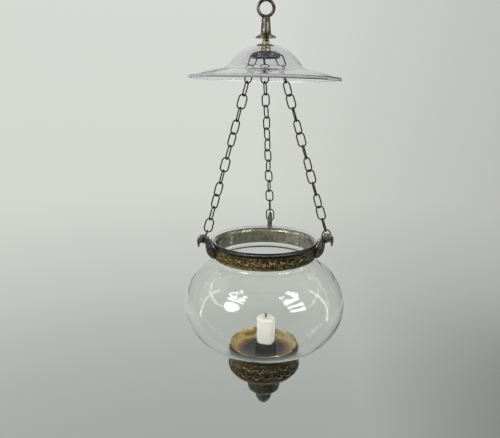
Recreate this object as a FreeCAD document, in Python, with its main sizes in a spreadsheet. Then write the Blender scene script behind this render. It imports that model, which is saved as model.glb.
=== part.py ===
import FreeCAD, Part
import math
import os
import Sketcher
from types import SimpleNamespace

# Hanging glass lantern: a hanger ring and rod carry a glass smoke bell and a chain
# carrier, three chains carry a brass collar on bird-head hooks, and the collar
# carries a blown glass bowl with a candle dish above and a finial cup below.
# Millimetres, Z up, origin at the centre of the hanger ring's eye.
# Azimuths are degrees counter-clockwise from +X, seen from above.

doc = FreeCAD.newDocument("HangingLantern")
sheet = doc.addObject("Spreadsheet::Sheet", "Sizes")

SIZES = [
    ("clearance", 0.3, "play between pieces that fit one another"),
    ("eye_radius", 7.0, "hole of the hanger ring"),
    ("eye_section", 3.4, "thickness of the hanger ring"),
    ("eye_land", 1.6, "width of the plain land inside the eye"),
    ("stem_top_radius", 4.6, "hanger stem below the ring"),
    ("stem_foot_radius", 5.8, "hanger stem at its foot"),
    ("stem_drop", 27.3, "eye centre down to the stem's foot"),
    ("stem_shoulder", 2.2, "height of the stem's rounded top"),
    ("rod_radius", 2.2, "threaded rod down the middle"),
    ("rod_grip", 12.0, "length of rod inside the stem"),
    ("pin_radius", 0.9, "cross pin through stem and rod"),
    ("pin_height", 2.8, "cross pin above the stem's foot"),
    ("pin_recess", 0.7, "depth of each pin end below the stem"),
    ("flange_radius", 11.7, "saucer flange"),
    ("flange_height", 4.6, "saucer flange, top to underside"),
    ("flange_edge", 0.9, "thickness of the flange's edge"),
    ("ferrule_radius", 3.4, "neck ferrule"),
    ("ferrule_length", 4.8, "neck ferrule"),
    ("ferrule_band_radius", 4.1, "raised band of the ferrule"),
    ("ferrule_band", 1.5, "height of the raised band"),
    ("washer", 0.8, "thickness of the leather washers"),
    ("washer_radius", 5.0, "leather washers of the smoke bell"),
    ("bell_wall", 2.4, "glass of the smoke bell"),
    ("dome_radius", 48.6, "arc of the smoke bell's dome"),
    ("dome_angle", 55.2, "slope where the dome meets the flare"),
    ("flare_radius", 20.0, "arc of the smoke bell's flare"),
    ("brim_angle", 7.5, "slope where the flare meets the brim"),
    ("brim_arc", 150.0, "arc of the brim"),
    ("brim_radius", 86.8, "end of the brim's arc"),
    ("bell_tilt", 1.3, "lean of the smoke bell, degrees down to the right"),
    ("nut_radius", 5.5, "round nut under the smoke bell"),
    ("nut_height", 5.1, "round nut under the smoke bell"),
    ("carrier_radius", 16.7, "chain carrier cap"),
    ("carrier_height", 7.4, "chain carrier cap"),
    ("carrier_dome", 2.6, "rise of the cap's top"),
    ("carrier_flat", 7.0, "flat seat on the cap"),
    ("carrier_crown", 14.0, "arc of the cap's round shoulder"),
    ("carrier_wall", 1.3, "metal of the cap"),
    ("carrier_azimuth", 97.0, "first link hole, over the back chain"),
    ("link_hole", 1.9, "radius of each link hole"),
    ("link_hole_height", 3.5, "link hole above the cap's lower edge"),
    ("end_nut_radius", 4.4, "nut inside the cap"),
    ("end_nut_height", 2.8, "nut inside the cap"),
    ("rod_end", 1.2, "rod past the nut"),
    ("wire", 1.6, "chain wire"),
    ("link_width", 10.8, "chain link over the wires"),
    ("link_play", 0.2, "play between linked wires"),
    ("cap_play", 0.45, "play of the first link in its hole"),
    ("links_left", 14, "links of the left chain"),
    ("links_right", 14, "links of the right chain"),
    ("links_back", 14, "links of the back chain"),
    ("twist_left", 72.0, "turn of each link after the last"),
    ("twist_right", 60.0, "turn of each link after the last"),
    ("twist_back", 84.0, "turn of each link after the last"),
    ("azimuth_left", 199.1, "left hook"),
    ("azimuth_right", 346.8, "right hook"),
    ("azimuth_back", 84.4, "back hook"),
    ("ring_wire", 1.5, "wire of the end rings"),
    ("ring_width_left", 12.0, "end ring over the wires"),
    ("ring_width_right", 16.0, "end ring over the wires"),
    ("ring_width_back", 11.6, "end ring over the wires"),
    ("ring_turn_left", 90.0, "turn of the end ring after the last link"),
    ("ring_turn_right", 58.0, "turn of the end ring after the last link"),
    ("ring_turn_back", 90.0, "turn of the end ring after the last link"),
    ("apex_out_left", 9.4, "top of the end ring out from the collar's band"),
    ("apex_out_right", 12.2, "top of the end ring out from the collar's band"),
    ("apex_out_back", 12.2, "top of the end ring out from the collar's band"),
    ("apex_left", 14.8, "top of the end ring above the bowl's lip"),
    ("apex_right", 14.6, "top of the end ring above the bowl's lip"),
    ("apex_back", 19.8, "top of the end ring above the bowl's lip"),
    ("lip_drop", 266.2, "eye centre down to the bowl's lip"),
    ("bowl_radius", 100.0, "outside of the glass bowl"),
    ("bowl_half_height", 71.5, "centre to bottom of the bowl"),
    ("bowl_side_arc", 56.0, "arc of the bowl's side"),
    ("shoulder_gap", 1.7, "collar's lower edge above the bowl's shoulder arc"),
    ("bowl_wall", 2.4, "glass of the bowl"),
    ("neck_radius", 60.3, "outside of the bowl's neck"),
    ("neck_fillet", 4.0, "arc from shoulder to neck"),
    ("lip_flare", 6.0, "arc of the lip"),
    ("lip_angle", 78.0, "turn of the lip's arc"),
    ("bowl_hole", 3.4, "hole in the bowl's bottom"),
    ("band_wall", 1.8, "metal of the collar's plain ground"),
    ("band_height", 14.6, "embossed part of the collar"),
    ("bead_drop", 3.1, "lip to the top of the collar's rolled bead"),
    ("bead_height", 4.3, "rolled bead of the collar"),
    ("bead_stand", 1.1, "bead beyond the band"),
    ("edge_wall", 0.8, "metal of the collar's lower edge"),
    ("edge_height", 1.6, "bevel of the collar's lower edge"),
    ("border", 1.4, "height of each dotted border"),
    ("border_stand", 0.35, "border beyond the band"),
    ("band_repeats", 24, "rosettes round the collar"),
    ("rosette_radius", 2.3, "rosette on the collar"),
    ("leaf_length", 6.0, "leaf on the collar"),
    ("leaf_width", 2.4, "leaf on the collar"),
    ("leaf_lean", 37.0, "rise of the leaves on the collar, degrees"),
    ("relief", 0.6, "height of the embossing"),
    ("hook_reach", 22.1, "band to the front of a hook's head"),
    ("hook_rise_left", 32.4, "foot to crown of the hook"),
    ("hook_rise_right", 32.4, "foot to crown of the hook"),
    ("hook_rise_back", 37.5, "foot to crown of the hook"),
    ("hook_foot", 0.4, "hook's foot above the collar's lower edge"),
    ("hook_thickness", 5.8, "hook at its foot, across"),
    ("dish_radius", 43.8, "rim of the drip dish"),
    ("dish_floor", 33.0, "floor of the drip dish"),
    ("dish_depth", 7.0, "drip dish"),
    ("dish_arc", 20.0, "arc of the dish's wall"),
    ("dish_metal", 0.9, "metal of the dish and socket"),
    ("socket_height", 8.6, "candle socket"),
    ("socket_offset", 2.4, "candle and socket to the right of the axis"),
    ("candle_radius", 12.0, "candle"),
    ("candle_height", 37.6, "candle, foot to shoulder"),
    ("candle_dome", 1.6, "rise of the candle's top"),
    ("wick_radius", 0.6, "wick"),
    ("wick_length", 3.6, "wick above the candle"),
    ("wick_depth", 3.0, "wick inside the candle"),
    ("bolt_radius", 2.6, "tie bolt through the bowl"),
    ("bolt_head_radius", 8.0, "head of the tie bolt"),
    ("bolt_head", 1.6, "head of the tie bolt"),
    ("pad_radius", 16.0, "pad between dish and glass"),
    ("jar_washer_radius", 9.0, "washer under the bowl"),
    ("jar_nut_radius", 7.0, "nut under the bowl"),
    ("jar_nut_height", 4.0, "nut under the bowl"),
    ("cup_radius", 46.0, "rim of the bottom cup"),
    ("cup_wall", 1.4, "metal of the bottom cup"),
    ("cup_side", 25.0, "near upright part of the cup"),
    ("cup_draft", 1.2, "narrowing of that part"),
    ("cup_height", 40.0, "bottom cup, rim to foot ring"),
    ("cup_foot_radius", 24.5, "foot ring of the cup"),
    ("cup_belly_arc", 30.0, "arc under the cup"),
    ("cup_foot_ring", 1.8, "height of the foot ring"),
    ("cup_foot_width", 3.0, "width of the foot ring"),
    ("cup_repeats", 16, "leaves round the cup"),
    ("cup_leaf_length", 15.0, "leaf on the cup"),
    ("cup_leaf_width", 8.0, "leaf on the cup"),
    ("bulb_radius", 20.4, "finial bulb"),
    ("bulb_top_radius", 16.5, "finial bulb under the cup"),
    ("bulb_foot_radius", 12.2, "finial bulb at its foot"),
    ("bulb_upper", 17.0, "bulb, top to its widest"),
    ("bulb_lower", 8.0, "bulb, widest to its foot"),
    ("bulb_upper_arc", 32.0, "arc above the bulb's widest"),
    ("bulb_lower_arc", 12.0, "arc below the bulb's widest"),
    ("bulb_ring", 1.3, "ring round the bulb's foot"),
    ("tip_radius", 10.6, "end knob"),
    ("tip_collar", 2.6, "upright part of the end knob"),
    ("tip_length", 18.3, "end knob"),
    ("tip_arc", 17.0, "arc of the end knob"),
    ("tip_grip", 8.0, "bolt inside the end knob"),
]


# A number that remembers how it is worked out from the sheet, so that one sum gives
# both a start value and the expression that keeps a feature bound to the sheet.
class Size:
    def __init__(self, value, text):
        self.value = value
        self.text = text

    def __add__(self, other):
        return join(self, "+", other, self.value + number(other))

    def __radd__(self, other):
        return join(other, "+", self, number(other) + self.value)

    def __sub__(self, other):
        return join(self, "-", other, self.value - number(other))

    def __rsub__(self, other):
        return join(other, "-", self, number(other) - self.value)

    def __mul__(self, other):
        return join(self, "*", other, self.value * number(other))

    def __rmul__(self, other):
        return join(other, "*", self, number(other) * self.value)

    def __truediv__(self, other):
        return join(self, "/", other, self.value / number(other))

    def __neg__(self):
        return Size(-self.value, "(-" + self.text + ")")


def number(size):
    return size.value if isinstance(size, Size) else float(size)


def text(size):
    return size.text if isinstance(size, Size) else repr(float(size))


def join(left, sign, right, value):
    return Size(value, "(" + text(left) + " " + sign + " " + text(right) + ")")


def root(size):
    return Size(math.sqrt(size.value), "sqrt(" + size.text + ")")


def sine(angle):
    return Size(math.sin(math.radians(angle.value)), "sin(" + angle.text + ")")


def cosine(angle):
    return Size(math.cos(math.radians(angle.value)), "cos(" + angle.text + ")")


for row, (name, value, meaning) in enumerate(SIZES, start=1):
    sheet.set("A%d" % row, name)
    sheet.set("B%d" % row, str(value))
    sheet.set("C%d" % row, meaning)
    sheet.setAlias("B%d" % row, name)
doc.recompute()
sizes = {name: Size(float(sheet.get(name)), "Sizes." + name) for name, _, _ in SIZES}
s = SimpleNamespace(**sizes)

parts = []


def origin_feature(body, role):
    return [item for item in body.Origin.OriginFeatures if item.Role == role][0]


def new_body(label):
    body = doc.addObject("PartDesign::Body", label)
    body.Label = label
    parts.append(body)
    return body


def add_sketch(body, label, role, offset=None):
    sketch = body.newObject("Sketcher::SketchObject", label)
    sketch.AttachmentSupport = [(origin_feature(body, role), "")]
    sketch.MapMode = "FlatFace"
    if offset is not None:
        sketch.setExpression("AttachmentOffset.Base.z", offset.text)
    return sketch


def add_dimension(sketch, kind, where, size):
    index = sketch.addConstraint(Sketcher.Constraint(kind, *where, number(size)))
    if isinstance(size, Size):
        sketch.setExpression("Constraints[%d]" % index, size.text)


def place_point(sketch, edge, end, across, up):
    if number(across) == 0:
        sketch.addConstraint(Sketcher.Constraint("PointOnObject", edge, end, -2))
    else:
        add_dimension(sketch, "DistanceX", (-1, 1, edge, end), across)
    if number(up) == 0:
        sketch.addConstraint(Sketcher.Constraint("PointOnObject", edge, end, -1))
    else:
        add_dimension(sketch, "DistanceY", (-1, 1, edge, end), up)


def arc_between(start, end, radius, side):
    chord = end - start
    left = FreeCAD.Vector(-chord.y, chord.x, 0).normalize()
    rise = math.sqrt(max(radius ** 2 - (chord.Length / 2) ** 2, 0))
    centre = start + chord / 2 + left * (side * rise)
    first, last = (start, end) if side > 0 else (end, start)
    angles = [math.atan2(p.y - centre.y, p.x - centre.x) for p in (first, last)]
    circle = Part.Circle(centre, FreeCAD.Vector(0, 0, 1), radius)
    return Part.ArcOfCircle(circle, angles[0], angles[1])


# A closed outline. Each corner is (across, up), or (across, up, arc radius, side) where
# an arc runs on to the next corner; side is 1 for a centre left of the way, -1 for right.
def add_outline(sketch, corners):
    points = [FreeCAD.Vector(number(c[0]), number(c[1]), 0) for c in corners]
    ends = []
    for index, corner in enumerate(corners):
        start = points[index]
        end = points[(index + 1) % len(points)]
        if len(corner) == 2:
            edge = sketch.addGeometry(Part.LineSegment(start, end))
            ends.append((edge, 1, 2))
        else:
            side = corner[3]
            edge = sketch.addGeometry(arc_between(start, end, number(corner[2]), side))
            ends.append((edge, 1, 2) if side > 0 else (edge, 2, 1))
    for index, corner in enumerate(corners):
        edge, first, last = ends[index]
        following, following_first, _ = ends[(index + 1) % len(ends)]
        joint = Sketcher.Constraint("Coincident", edge, last, following, following_first)
        sketch.addConstraint(joint)
        place_point(sketch, edge, first, corner[0], corner[1])
        if len(corner) == 4:
            add_dimension(sketch, "Radius", (edge,), corner[2])


def add_circle(sketch, across, up, radius):
    centre = FreeCAD.Vector(number(across), number(up), 0)
    edge = sketch.addGeometry(Part.Circle(centre, FreeCAD.Vector(0, 0, 1), number(radius)))
    place_point(sketch, edge, 3, across, up)
    add_dimension(sketch, "Radius", (edge,), radius)


def revolve(body, label, corners, role="XZ_Plane"):
    sketch = add_sketch(body, label + "_outline", role)
    add_outline(sketch, corners)
    turn = body.newObject("PartDesign::Revolution", label)
    turn.Profile = sketch
    turn.ReferenceAxis = (sketch, ["V_Axis"])
    turn.Angle = 360
    return turn


def turned(label, height, corners):
    body = new_body(label)
    revolve(body, label + "_turning", corners)
    body.setExpression("Placement.Base.z", height.text)
    return body


def cross_hole(body, label, up, radius):
    sketch = add_sketch(body, label + "_circle", "XZ_Plane")
    add_circle(sketch, 0, up, radius)
    hole = body.newObject("PartDesign::Pocket", label)
    hole.Profile = sketch
    hole.Type = 1
    hole.Midplane = True
    return hole


# Bosses that stand out of a round wall, padded from inside it and repeated about Z.
def emboss(body, label, start, length, repeats, draw):
    sketch = add_sketch(body, label + "_outline", "XZ_Plane", start)
    draw(sketch)
    pad = body.newObject("PartDesign::Pad", label)
    pad.Profile = sketch
    pad.setExpression("Length", length.text)
    pattern = body.newObject("PartDesign::PolarPattern", label + "_round")
    pattern.Originals = [pad]
    pattern.Axis = (origin_feature(body, "Z_Axis"), [""])
    pattern.Angle = 360
    pattern.setExpression("Occurrences", repeats.text)
    body.Tip = pattern


# A pointed leaf between two arcs, its length along the lean direction.
def add_leaf(sketch, across, up, length, width, lean_across, lean_up):
    half = length / 2
    arc = (half * half + width * width / 4) / width
    step_across = half * lean_across
    step_up = half * lean_up
    corners = [
        (across - step_across, up - step_up, arc, 1),
        (across + step_across, up + step_up, arc, 1),
    ]
    add_outline(sketch, corners)


def feature(label, shape, height=None):
    item = doc.addObject("Part::Feature", label)
    item.Label = label
    item.Shape = shape
    if height is not None:
        item.setExpression("Placement.Base.z", height.text)
    parts.append(item)
    return item


# The chains in the order of their holes round the carrier
CHAINS = ("back", "left", "right")

# Heights down the middle
stem_foot = -s.stem_drop
flange_under = stem_foot - s.flange_height
ferrule_foot = flange_under - s.ferrule_length
bell_play = s.washer_radius * sine(s.bell_tilt)
bell_top = ferrule_foot - s.washer - bell_play
bell_inner_arc = s.dome_radius - s.bell_wall
bell_crown = root(s.dome_radius * s.dome_radius - s.washer_radius * s.washer_radius)
bell_ceiling = root(bell_inner_arc * bell_inner_arc - s.washer_radius * s.washer_radius)
bell_under = bell_top - bell_crown + bell_ceiling
nut_top = bell_under - s.washer - bell_play
carrier_top = nut_top - s.nut_height
carrier_foot = carrier_top - s.carrier_height
end_nut_top = carrier_top - s.carrier_wall
rod_foot = end_nut_top - s.end_nut_height - s.rod_end
lip = -s.lip_drop
flare_centre = lip - (s.lip_flare + s.bowl_wall) * sine(s.lip_angle)
bead_foot = lip - s.bead_drop - s.bead_height
collar_foot = bead_foot - s.band_height
collar_inner = s.neck_radius + s.clearance
band_radius = collar_inner + s.band_wall

rod_bore = s.rod_radius + s.clearance / 2


def hanger_ring():
    body = new_body("hanger_ring")
    centre = s.eye_radius + s.eye_section / 2
    half = root(s.eye_section * s.eye_section / 4 + s.eye_land * s.eye_land / 4)
    revolve(body, "eye", [
        (s.eye_radius, -s.eye_land / 2),
        (centre, -half, half, 1),
        (centre + half, 0, half, 1),
        (centre, half, half, 1),
        (s.eye_radius, s.eye_land / 2),
    ], "XY_Plane")
    top = -(s.eye_radius + s.eye_section / 2)
    revolve(body, "stem", [
        (rod_bore, stem_foot),
        (s.stem_foot_radius, stem_foot),
        (s.stem_top_radius, top - s.stem_shoulder, s.stem_shoulder, 1),
        (s.stem_top_radius - s.stem_shoulder, top),
        (0, top),
        (0, stem_foot + s.rod_grip),
        (rod_bore, stem_foot + s.rod_grip),
    ])
    cross_hole(body, "pin_hole", stem_foot + s.pin_height, s.pin_radius)


def stem_pin():
    pin = doc.addObject("Part::Cylinder", "stem_pin")
    pin.Label = "stem_pin"
    reach = s.stem_foot_radius - s.pin_recess
    pin.setExpression("Radius", (s.pin_radius - s.clearance / 4).text)
    pin.setExpression("Height", (reach * 2).text)
    turn = FreeCAD.Rotation(FreeCAD.Vector(1, 0, 0), 90)
    pin.Placement = FreeCAD.Placement(FreeCAD.Vector(), turn)
    pin.setExpression("Placement.Base.y", reach.text)
    pin.setExpression("Placement.Base.z", (stem_foot + s.pin_height).text)
    parts.append(pin)


def suspension_rod():
    body = new_body("suspension_rod")
    top = stem_foot + s.rod_grip - s.clearance
    revolve(body, "rod", [
        (0, rod_foot),
        (s.rod_radius, rod_foot),
        (s.rod_radius, top),
        (0, top),
    ])
    cross_hole(body, "rod_pin_hole", stem_foot + s.pin_height, s.pin_radius)


def saucer_flange():
    turned("saucer_flange", flange_under, [
        (rod_bore, 0),
        (s.ferrule_band_radius, 0),
        (s.flange_radius, s.flange_edge / 2, s.flange_edge, 1),
        (s.flange_radius, s.flange_edge * 3 / 2),
        (s.stem_foot_radius, s.flange_height),
        (rod_bore, s.flange_height),
    ])


def neck_ferrule():
    turned("neck_ferrule", ferrule_foot, [
        (rod_bore, 0),
        (s.ferrule_band_radius, 0),
        (s.ferrule_band_radius, s.ferrule_band),
        (s.ferrule_radius, s.ferrule_band * 3 / 2),
        (s.ferrule_radius, s.ferrule_length),
        (rod_bore, s.ferrule_length),
    ])


def ring_disc(label, height, bore, radius, thickness):
    turned(label, height, [
        (bore, 0),
        (radius, 0),
        (radius, thickness),
        (bore, thickness),
    ])


# The dome, the flare and the brim are arcs that run smoothly into one another.
def smoke_bell():
    wall = s.bell_wall
    dome_sine, dome_cosine = sine(s.dome_angle), cosine(s.dome_angle)
    brim_sine, brim_cosine = sine(s.brim_angle), cosine(s.brim_angle)
    dome_end_across = s.dome_radius * dome_sine
    dome_end_up = s.dome_radius * dome_cosine - bell_crown
    flare_end_across = dome_end_across + s.flare_radius * (dome_sine - brim_sine)
    flare_end_up = dome_end_up - s.flare_radius * (brim_cosine - dome_cosine)
    rim_sine = brim_sine + (s.brim_radius - flare_end_across) / s.brim_arc
    rim_cosine = root(1 - rim_sine * rim_sine)
    rim_up = flare_end_up - s.brim_arc * (brim_cosine - rim_cosine)
    bell = turned("smoke_bell", bell_top, [
        (rod_bore, bell_ceiling - bell_crown),
        (s.washer_radius, bell_ceiling - bell_crown, bell_inner_arc, -1),
        (
            dome_end_across - wall * dome_sine,
            dome_end_up - wall * dome_cosine,
            s.flare_radius + wall,
            1,
        ),
        (
            flare_end_across - wall * brim_sine,
            flare_end_up - wall * brim_cosine,
            s.brim_arc - wall,
            -1,
        ),
        (s.brim_radius - wall * rim_sine, rim_up - wall * rim_cosine, wall / 2, 1),
        (
            s.brim_radius + wall / 2 * (rim_cosine - rim_sine),
            rim_up - wall / 2 * (rim_cosine + rim_sine),
            wall / 2,
            1,
        ),
        (s.brim_radius, rim_up, s.brim_arc, 1),
        (flare_end_across, flare_end_up, s.flare_radius, -1),
        (dome_end_across, dome_end_up, s.dome_radius, 1),
        (s.washer_radius, 0),
        (rod_bore, 0),
    ])
    lean = FreeCAD.Rotation(FreeCAD.Vector(0, 1, 0), number(s.bell_tilt))
    bell.Placement = FreeCAD.Placement(FreeCAD.Vector(), lean)
    bell.setExpression("Placement.Rotation.Angle", s.bell_tilt.text)


def chain_carrier():
    skirt = s.carrier_radius - s.carrier_wall
    shoulder = s.carrier_dome
    body = new_body("chain_carrier")
    revolve(body, "cap", [
        (rod_bore, s.carrier_height - s.carrier_wall),
        (
            s.carrier_flat,
            s.carrier_height - s.carrier_wall,
            s.carrier_crown - s.carrier_wall,
            -1,
        ),
        (skirt, s.carrier_height - shoulder - s.carrier_wall),
        (skirt, 0),
        (s.carrier_radius, 0),
        (
            s.carrier_radius,
            s.carrier_height - shoulder - s.carrier_wall / 2,
            s.carrier_crown,
            1,
        ),
        (s.carrier_flat, s.carrier_height),
        (rod_bore, s.carrier_height),
    ])
    body.setExpression("Placement.Base.z", carrier_foot.text)
    sketch = add_sketch(body, "link_hole_circle", "XZ_Plane")
    add_circle(sketch, 0, s.link_hole_height, s.link_hole)
    hole = body.newObject("PartDesign::Pocket", "link_holes")
    hole.Profile = sketch
    hole.setExpression("Length", (s.carrier_radius + s.clearance).text)
    hole.Reversed = True
    pattern = body.newObject("PartDesign::PolarPattern", "link_holes_round")
    pattern.Originals = [hole]
    pattern.Axis = (origin_feature(body, "Z_Axis"), [""])
    pattern.Angle = 360
    pattern.Occurrences = len(CHAINS)
    body.Tip = pattern
    body.setExpression("Placement.Rotation.Angle", (s.carrier_azimuth + 90).text)
    return hole


# One link of round wire between the wire centres at its two ends, in the plane square
# to the normal: two straight sides and two half rings.
def wire_link(top, bottom, width, wire, normal):
    down = (bottom - top).normalize()
    across = normal.cross(down).normalize()
    bend = (width - wire) / 2
    upper = top + down * bend
    lower = bottom - down * bend
    pieces = []
    for side, centre in ((1, lower), (-1, upper)):
        start = across * (bend * side)
        face = Part.Face(Part.Wire([Part.makeCircle(wire / 2, centre + start, down)]))
        pieces.append(face.extrude((upper - lower) * side))
        pieces.append(face.revolve(centre, normal, -180))
    return pieces[0].fuse(pieces[1:]).removeSplitter()


def polar(radius, azimuth, height):
    turn = math.radians(azimuth)
    return FreeCAD.Vector(radius * math.cos(turn), radius * math.sin(turn), height)


# The hanging line of one chain: its first contact in the cap, its last contact in the
# end ring, and the end ring's seat under the hook's chin.
def chain_line(name, place):
    wall_middle = number(s.carrier_radius - s.carrier_wall / 2)
    hole_azimuth = number(s.carrier_azimuth) + 360 / len(CHAINS) * place
    hole_floor = number(carrier_foot + s.link_hole_height - s.link_hole)
    first = polar(wall_middle, hole_azimuth, hole_floor)
    azimuth = number(sizes["azimuth_" + name])
    apex_radius = number(band_radius + sizes["apex_out_" + name])
    last = polar(apex_radius, azimuth, number(lip + sizes["apex_" + name]))
    square = polar(1, hole_azimuth + 90, 0)
    return first, last, square


def turned_about(vector, axis, angle):
    return FreeCAD.Rotation(axis, angle).multVec(vector)


def chain(name, place):
    count = int(number(sizes["links_" + name]))
    twist = number(sizes["twist_" + name])
    ring_turn = number(sizes["ring_turn_" + name])
    first, last, square = chain_line(name, place)
    span = last - first
    down = FreeCAD.Vector(span).normalize()
    pitch = span.Length / count
    square = (square - down * square.dot(down)).normalize()
    wire = number(s.wire)
    reach = (wire + number(s.link_play)) / 2
    links = []
    for index in range(count):
        top_reach = wire / 2 + number(s.cap_play) if index == 0 else reach
        top = first + down * (pitch * index - top_reach)
        bottom = first + down * (pitch * (index + 1) + reach)
        normal = turned_about(square, down, twist * index)
        links.append(wire_link(top, bottom, number(s.link_width), wire, normal))
    feature("chain_" + name, Part.makeCompound(links))
    seat = hook_point(name, SEAT_OUT, SEAT_UP)
    ring_wire_size = number(s.ring_wire)
    seat.z -= ring_wire_size / 2 + number(s.link_play)
    ring_down = (seat - last).normalize()
    ring_top = last - ring_down * ((ring_wire_size + number(s.link_play)) / 2)
    normal = turned_about(square, down, twist * (count - 1) + ring_turn)
    normal = (normal - ring_down * normal.dot(ring_down)).normalize()
    width = number(sizes["ring_width_" + name])
    ring = wire_link(ring_top, seat, width, ring_wire_size, normal)
    feature("end_ring_" + name, ring)


# Cross sections of a bird-head hook from its foot, up the neck, over the crown and down
# to the tip of the beak: back edge (out, up), front edge (out, up) and thickness, as
# shares of the hook's reach, rise and thickness.
HOOK_SECTIONS = [
    (0.00, 0.38, -0.03, 0.00, 1.00),
    (0.10, 0.42, 0.26, 0.10, 0.96),
    (0.17, 0.50, 0.47, 0.29, 0.88),
    (0.21, 0.62, 0.52, 0.51, 0.76),
    (0.26, 0.74, 0.535, 0.655, 0.70),
    (0.37, 0.87, 0.58, 0.70, 0.74),
    (0.59, 1.00, 0.67, 0.72, 0.80),
    (0.81, 0.99, 0.78, 0.72, 0.76),
    (0.95, 0.92, 0.84, 0.70, 0.62),
    (1.00, 0.80, 0.86, 0.685, 0.46),
    (0.975, 0.69, 0.875, 0.645, 0.34),
    (0.92, 0.54, 0.90, 0.53, 0.14),
]
SEAT_OUT = 0.67
SEAT_UP = 0.72


def hook_point(name, out, up):
    radius = number(band_radius) + out * number(s.hook_reach)
    height = number(collar_foot + s.hook_foot) + up * number(sizes["hook_rise_" + name])
    return polar(radius, number(sizes["azimuth_" + name]), height)


def bird_hook(name, collar):
    across = polar(1, number(sizes["azimuth_" + name]) + 90, 0)
    sections = []
    circle = Part.Wire([Part.makeCircle(1)])
    for back_out, back_up, front_out, front_up, share in HOOK_SECTIONS:
        back = hook_point(name, back_out, back_up)
        front = hook_point(name, front_out, front_up)
        centre = (back + front) / 2
        half = back - centre
        side = across * (share * number(s.hook_thickness) / 2)
        normal = FreeCAD.Vector(half).cross(side).normalize()
        matrix = FreeCAD.Matrix(
            half.x, side.x, normal.x, centre.x,
            half.y, side.y, normal.y, centre.y,
            half.z, side.z, normal.z, centre.z,
            0, 0, 0, 1,
        )
        sections.append(Part.Wire(circle.transformGeometry(matrix).Edges))
    blank = Part.makeLoft(sections, True, False)
    rise = number(sizes["hook_rise_" + name])
    foot = FreeCAD.Vector(0, 0, number(collar_foot) - rise / 2)
    drum = Part.makeCylinder(number(band_radius), rise * 2, foot)
    feature("hook_" + name, blank.cut(drum).cut(collar.Shape))


# The bowl is an oval of four arcs: two at the sides and one each over and under.
side_centre = s.bowl_radius - s.bowl_side_arc
arc_excess = s.bowl_half_height - s.bowl_side_arc
end_centre = (side_centre * side_centre - arc_excess * arc_excess) / (arc_excess * 2)
end_arc = s.bowl_half_height + end_centre
centres_apart = end_centre + arc_excess
inner_end_arc = end_arc - s.bowl_wall
inner_side_arc = s.bowl_side_arc - s.bowl_wall
shoulder_across = s.neck_radius + s.neck_fillet
shoulder_reach = end_arc + s.neck_fillet
shoulder_up = (
    root(shoulder_reach * shoulder_reach - shoulder_across * shoulder_across) - end_centre
)
bowl_centre = collar_foot - s.shoulder_gap - shoulder_up


# Height of the bowl's lower arc at a radius from the axis
def lower_glass(radius, arc):
    return bowl_centre + end_centre - root(arc * arc - radius * radius)


def glass_bowl():
    wall = s.bowl_wall
    share_across = side_centre / centres_apart
    share_up = end_centre / centres_apart
    outer_across = side_centre + s.bowl_side_arc * share_across
    outer_up = s.bowl_side_arc * share_up
    inner_across = side_centre + inner_side_arc * share_across
    inner_up = inner_side_arc * share_up
    share = end_arc / shoulder_reach
    inner_share = inner_end_arc / shoulder_reach
    flare_across = s.neck_radius + s.lip_flare
    flare_up = flare_centre - bowl_centre
    lip_sine, lip_cosine = sine(s.lip_angle), cosine(s.lip_angle)
    outer_lip = s.lip_flare
    inner_lip = s.lip_flare + wall
    middle_lip = s.lip_flare + wall / 2
    hole = s.bowl_hole
    turned("glass_bowl", bowl_centre, [
        (hole, end_centre - root(inner_end_arc * inner_end_arc - hole * hole)),
        (hole, end_centre - root(end_arc * end_arc - hole * hole), end_arc, 1),
        (outer_across, -outer_up, s.bowl_side_arc, 1),
        (outer_across, outer_up, end_arc, 1),
        (
            shoulder_across * share,
            (shoulder_up + end_centre) * share - end_centre,
            s.neck_fillet,
            -1,
        ),
        (s.neck_radius, shoulder_up),
        (s.neck_radius, flare_up, outer_lip, -1),
        (
            flare_across - outer_lip * lip_cosine,
            flare_up + outer_lip * lip_sine,
            wall / 2,
            1,
        ),
        (
            flare_across - middle_lip * lip_cosine + wall / 2 * lip_sine,
            flare_up + middle_lip * lip_sine + wall / 2 * lip_cosine,
            wall / 2,
            1,
        ),
        (
            flare_across - inner_lip * lip_cosine,
            flare_up + inner_lip * lip_sine,
            inner_lip,
            1,
        ),
        (s.neck_radius - wall, flare_up),
        (s.neck_radius - wall, shoulder_up, s.neck_fillet + wall, 1),
        (
            shoulder_across * inner_share,
            (shoulder_up + end_centre) * inner_share - end_centre,
            inner_end_arc,
            -1,
        ),
        (inner_across, inner_up, inner_side_arc, -1),
        (inner_across, -inner_up, inner_end_arc, -1),
    ])


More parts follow.
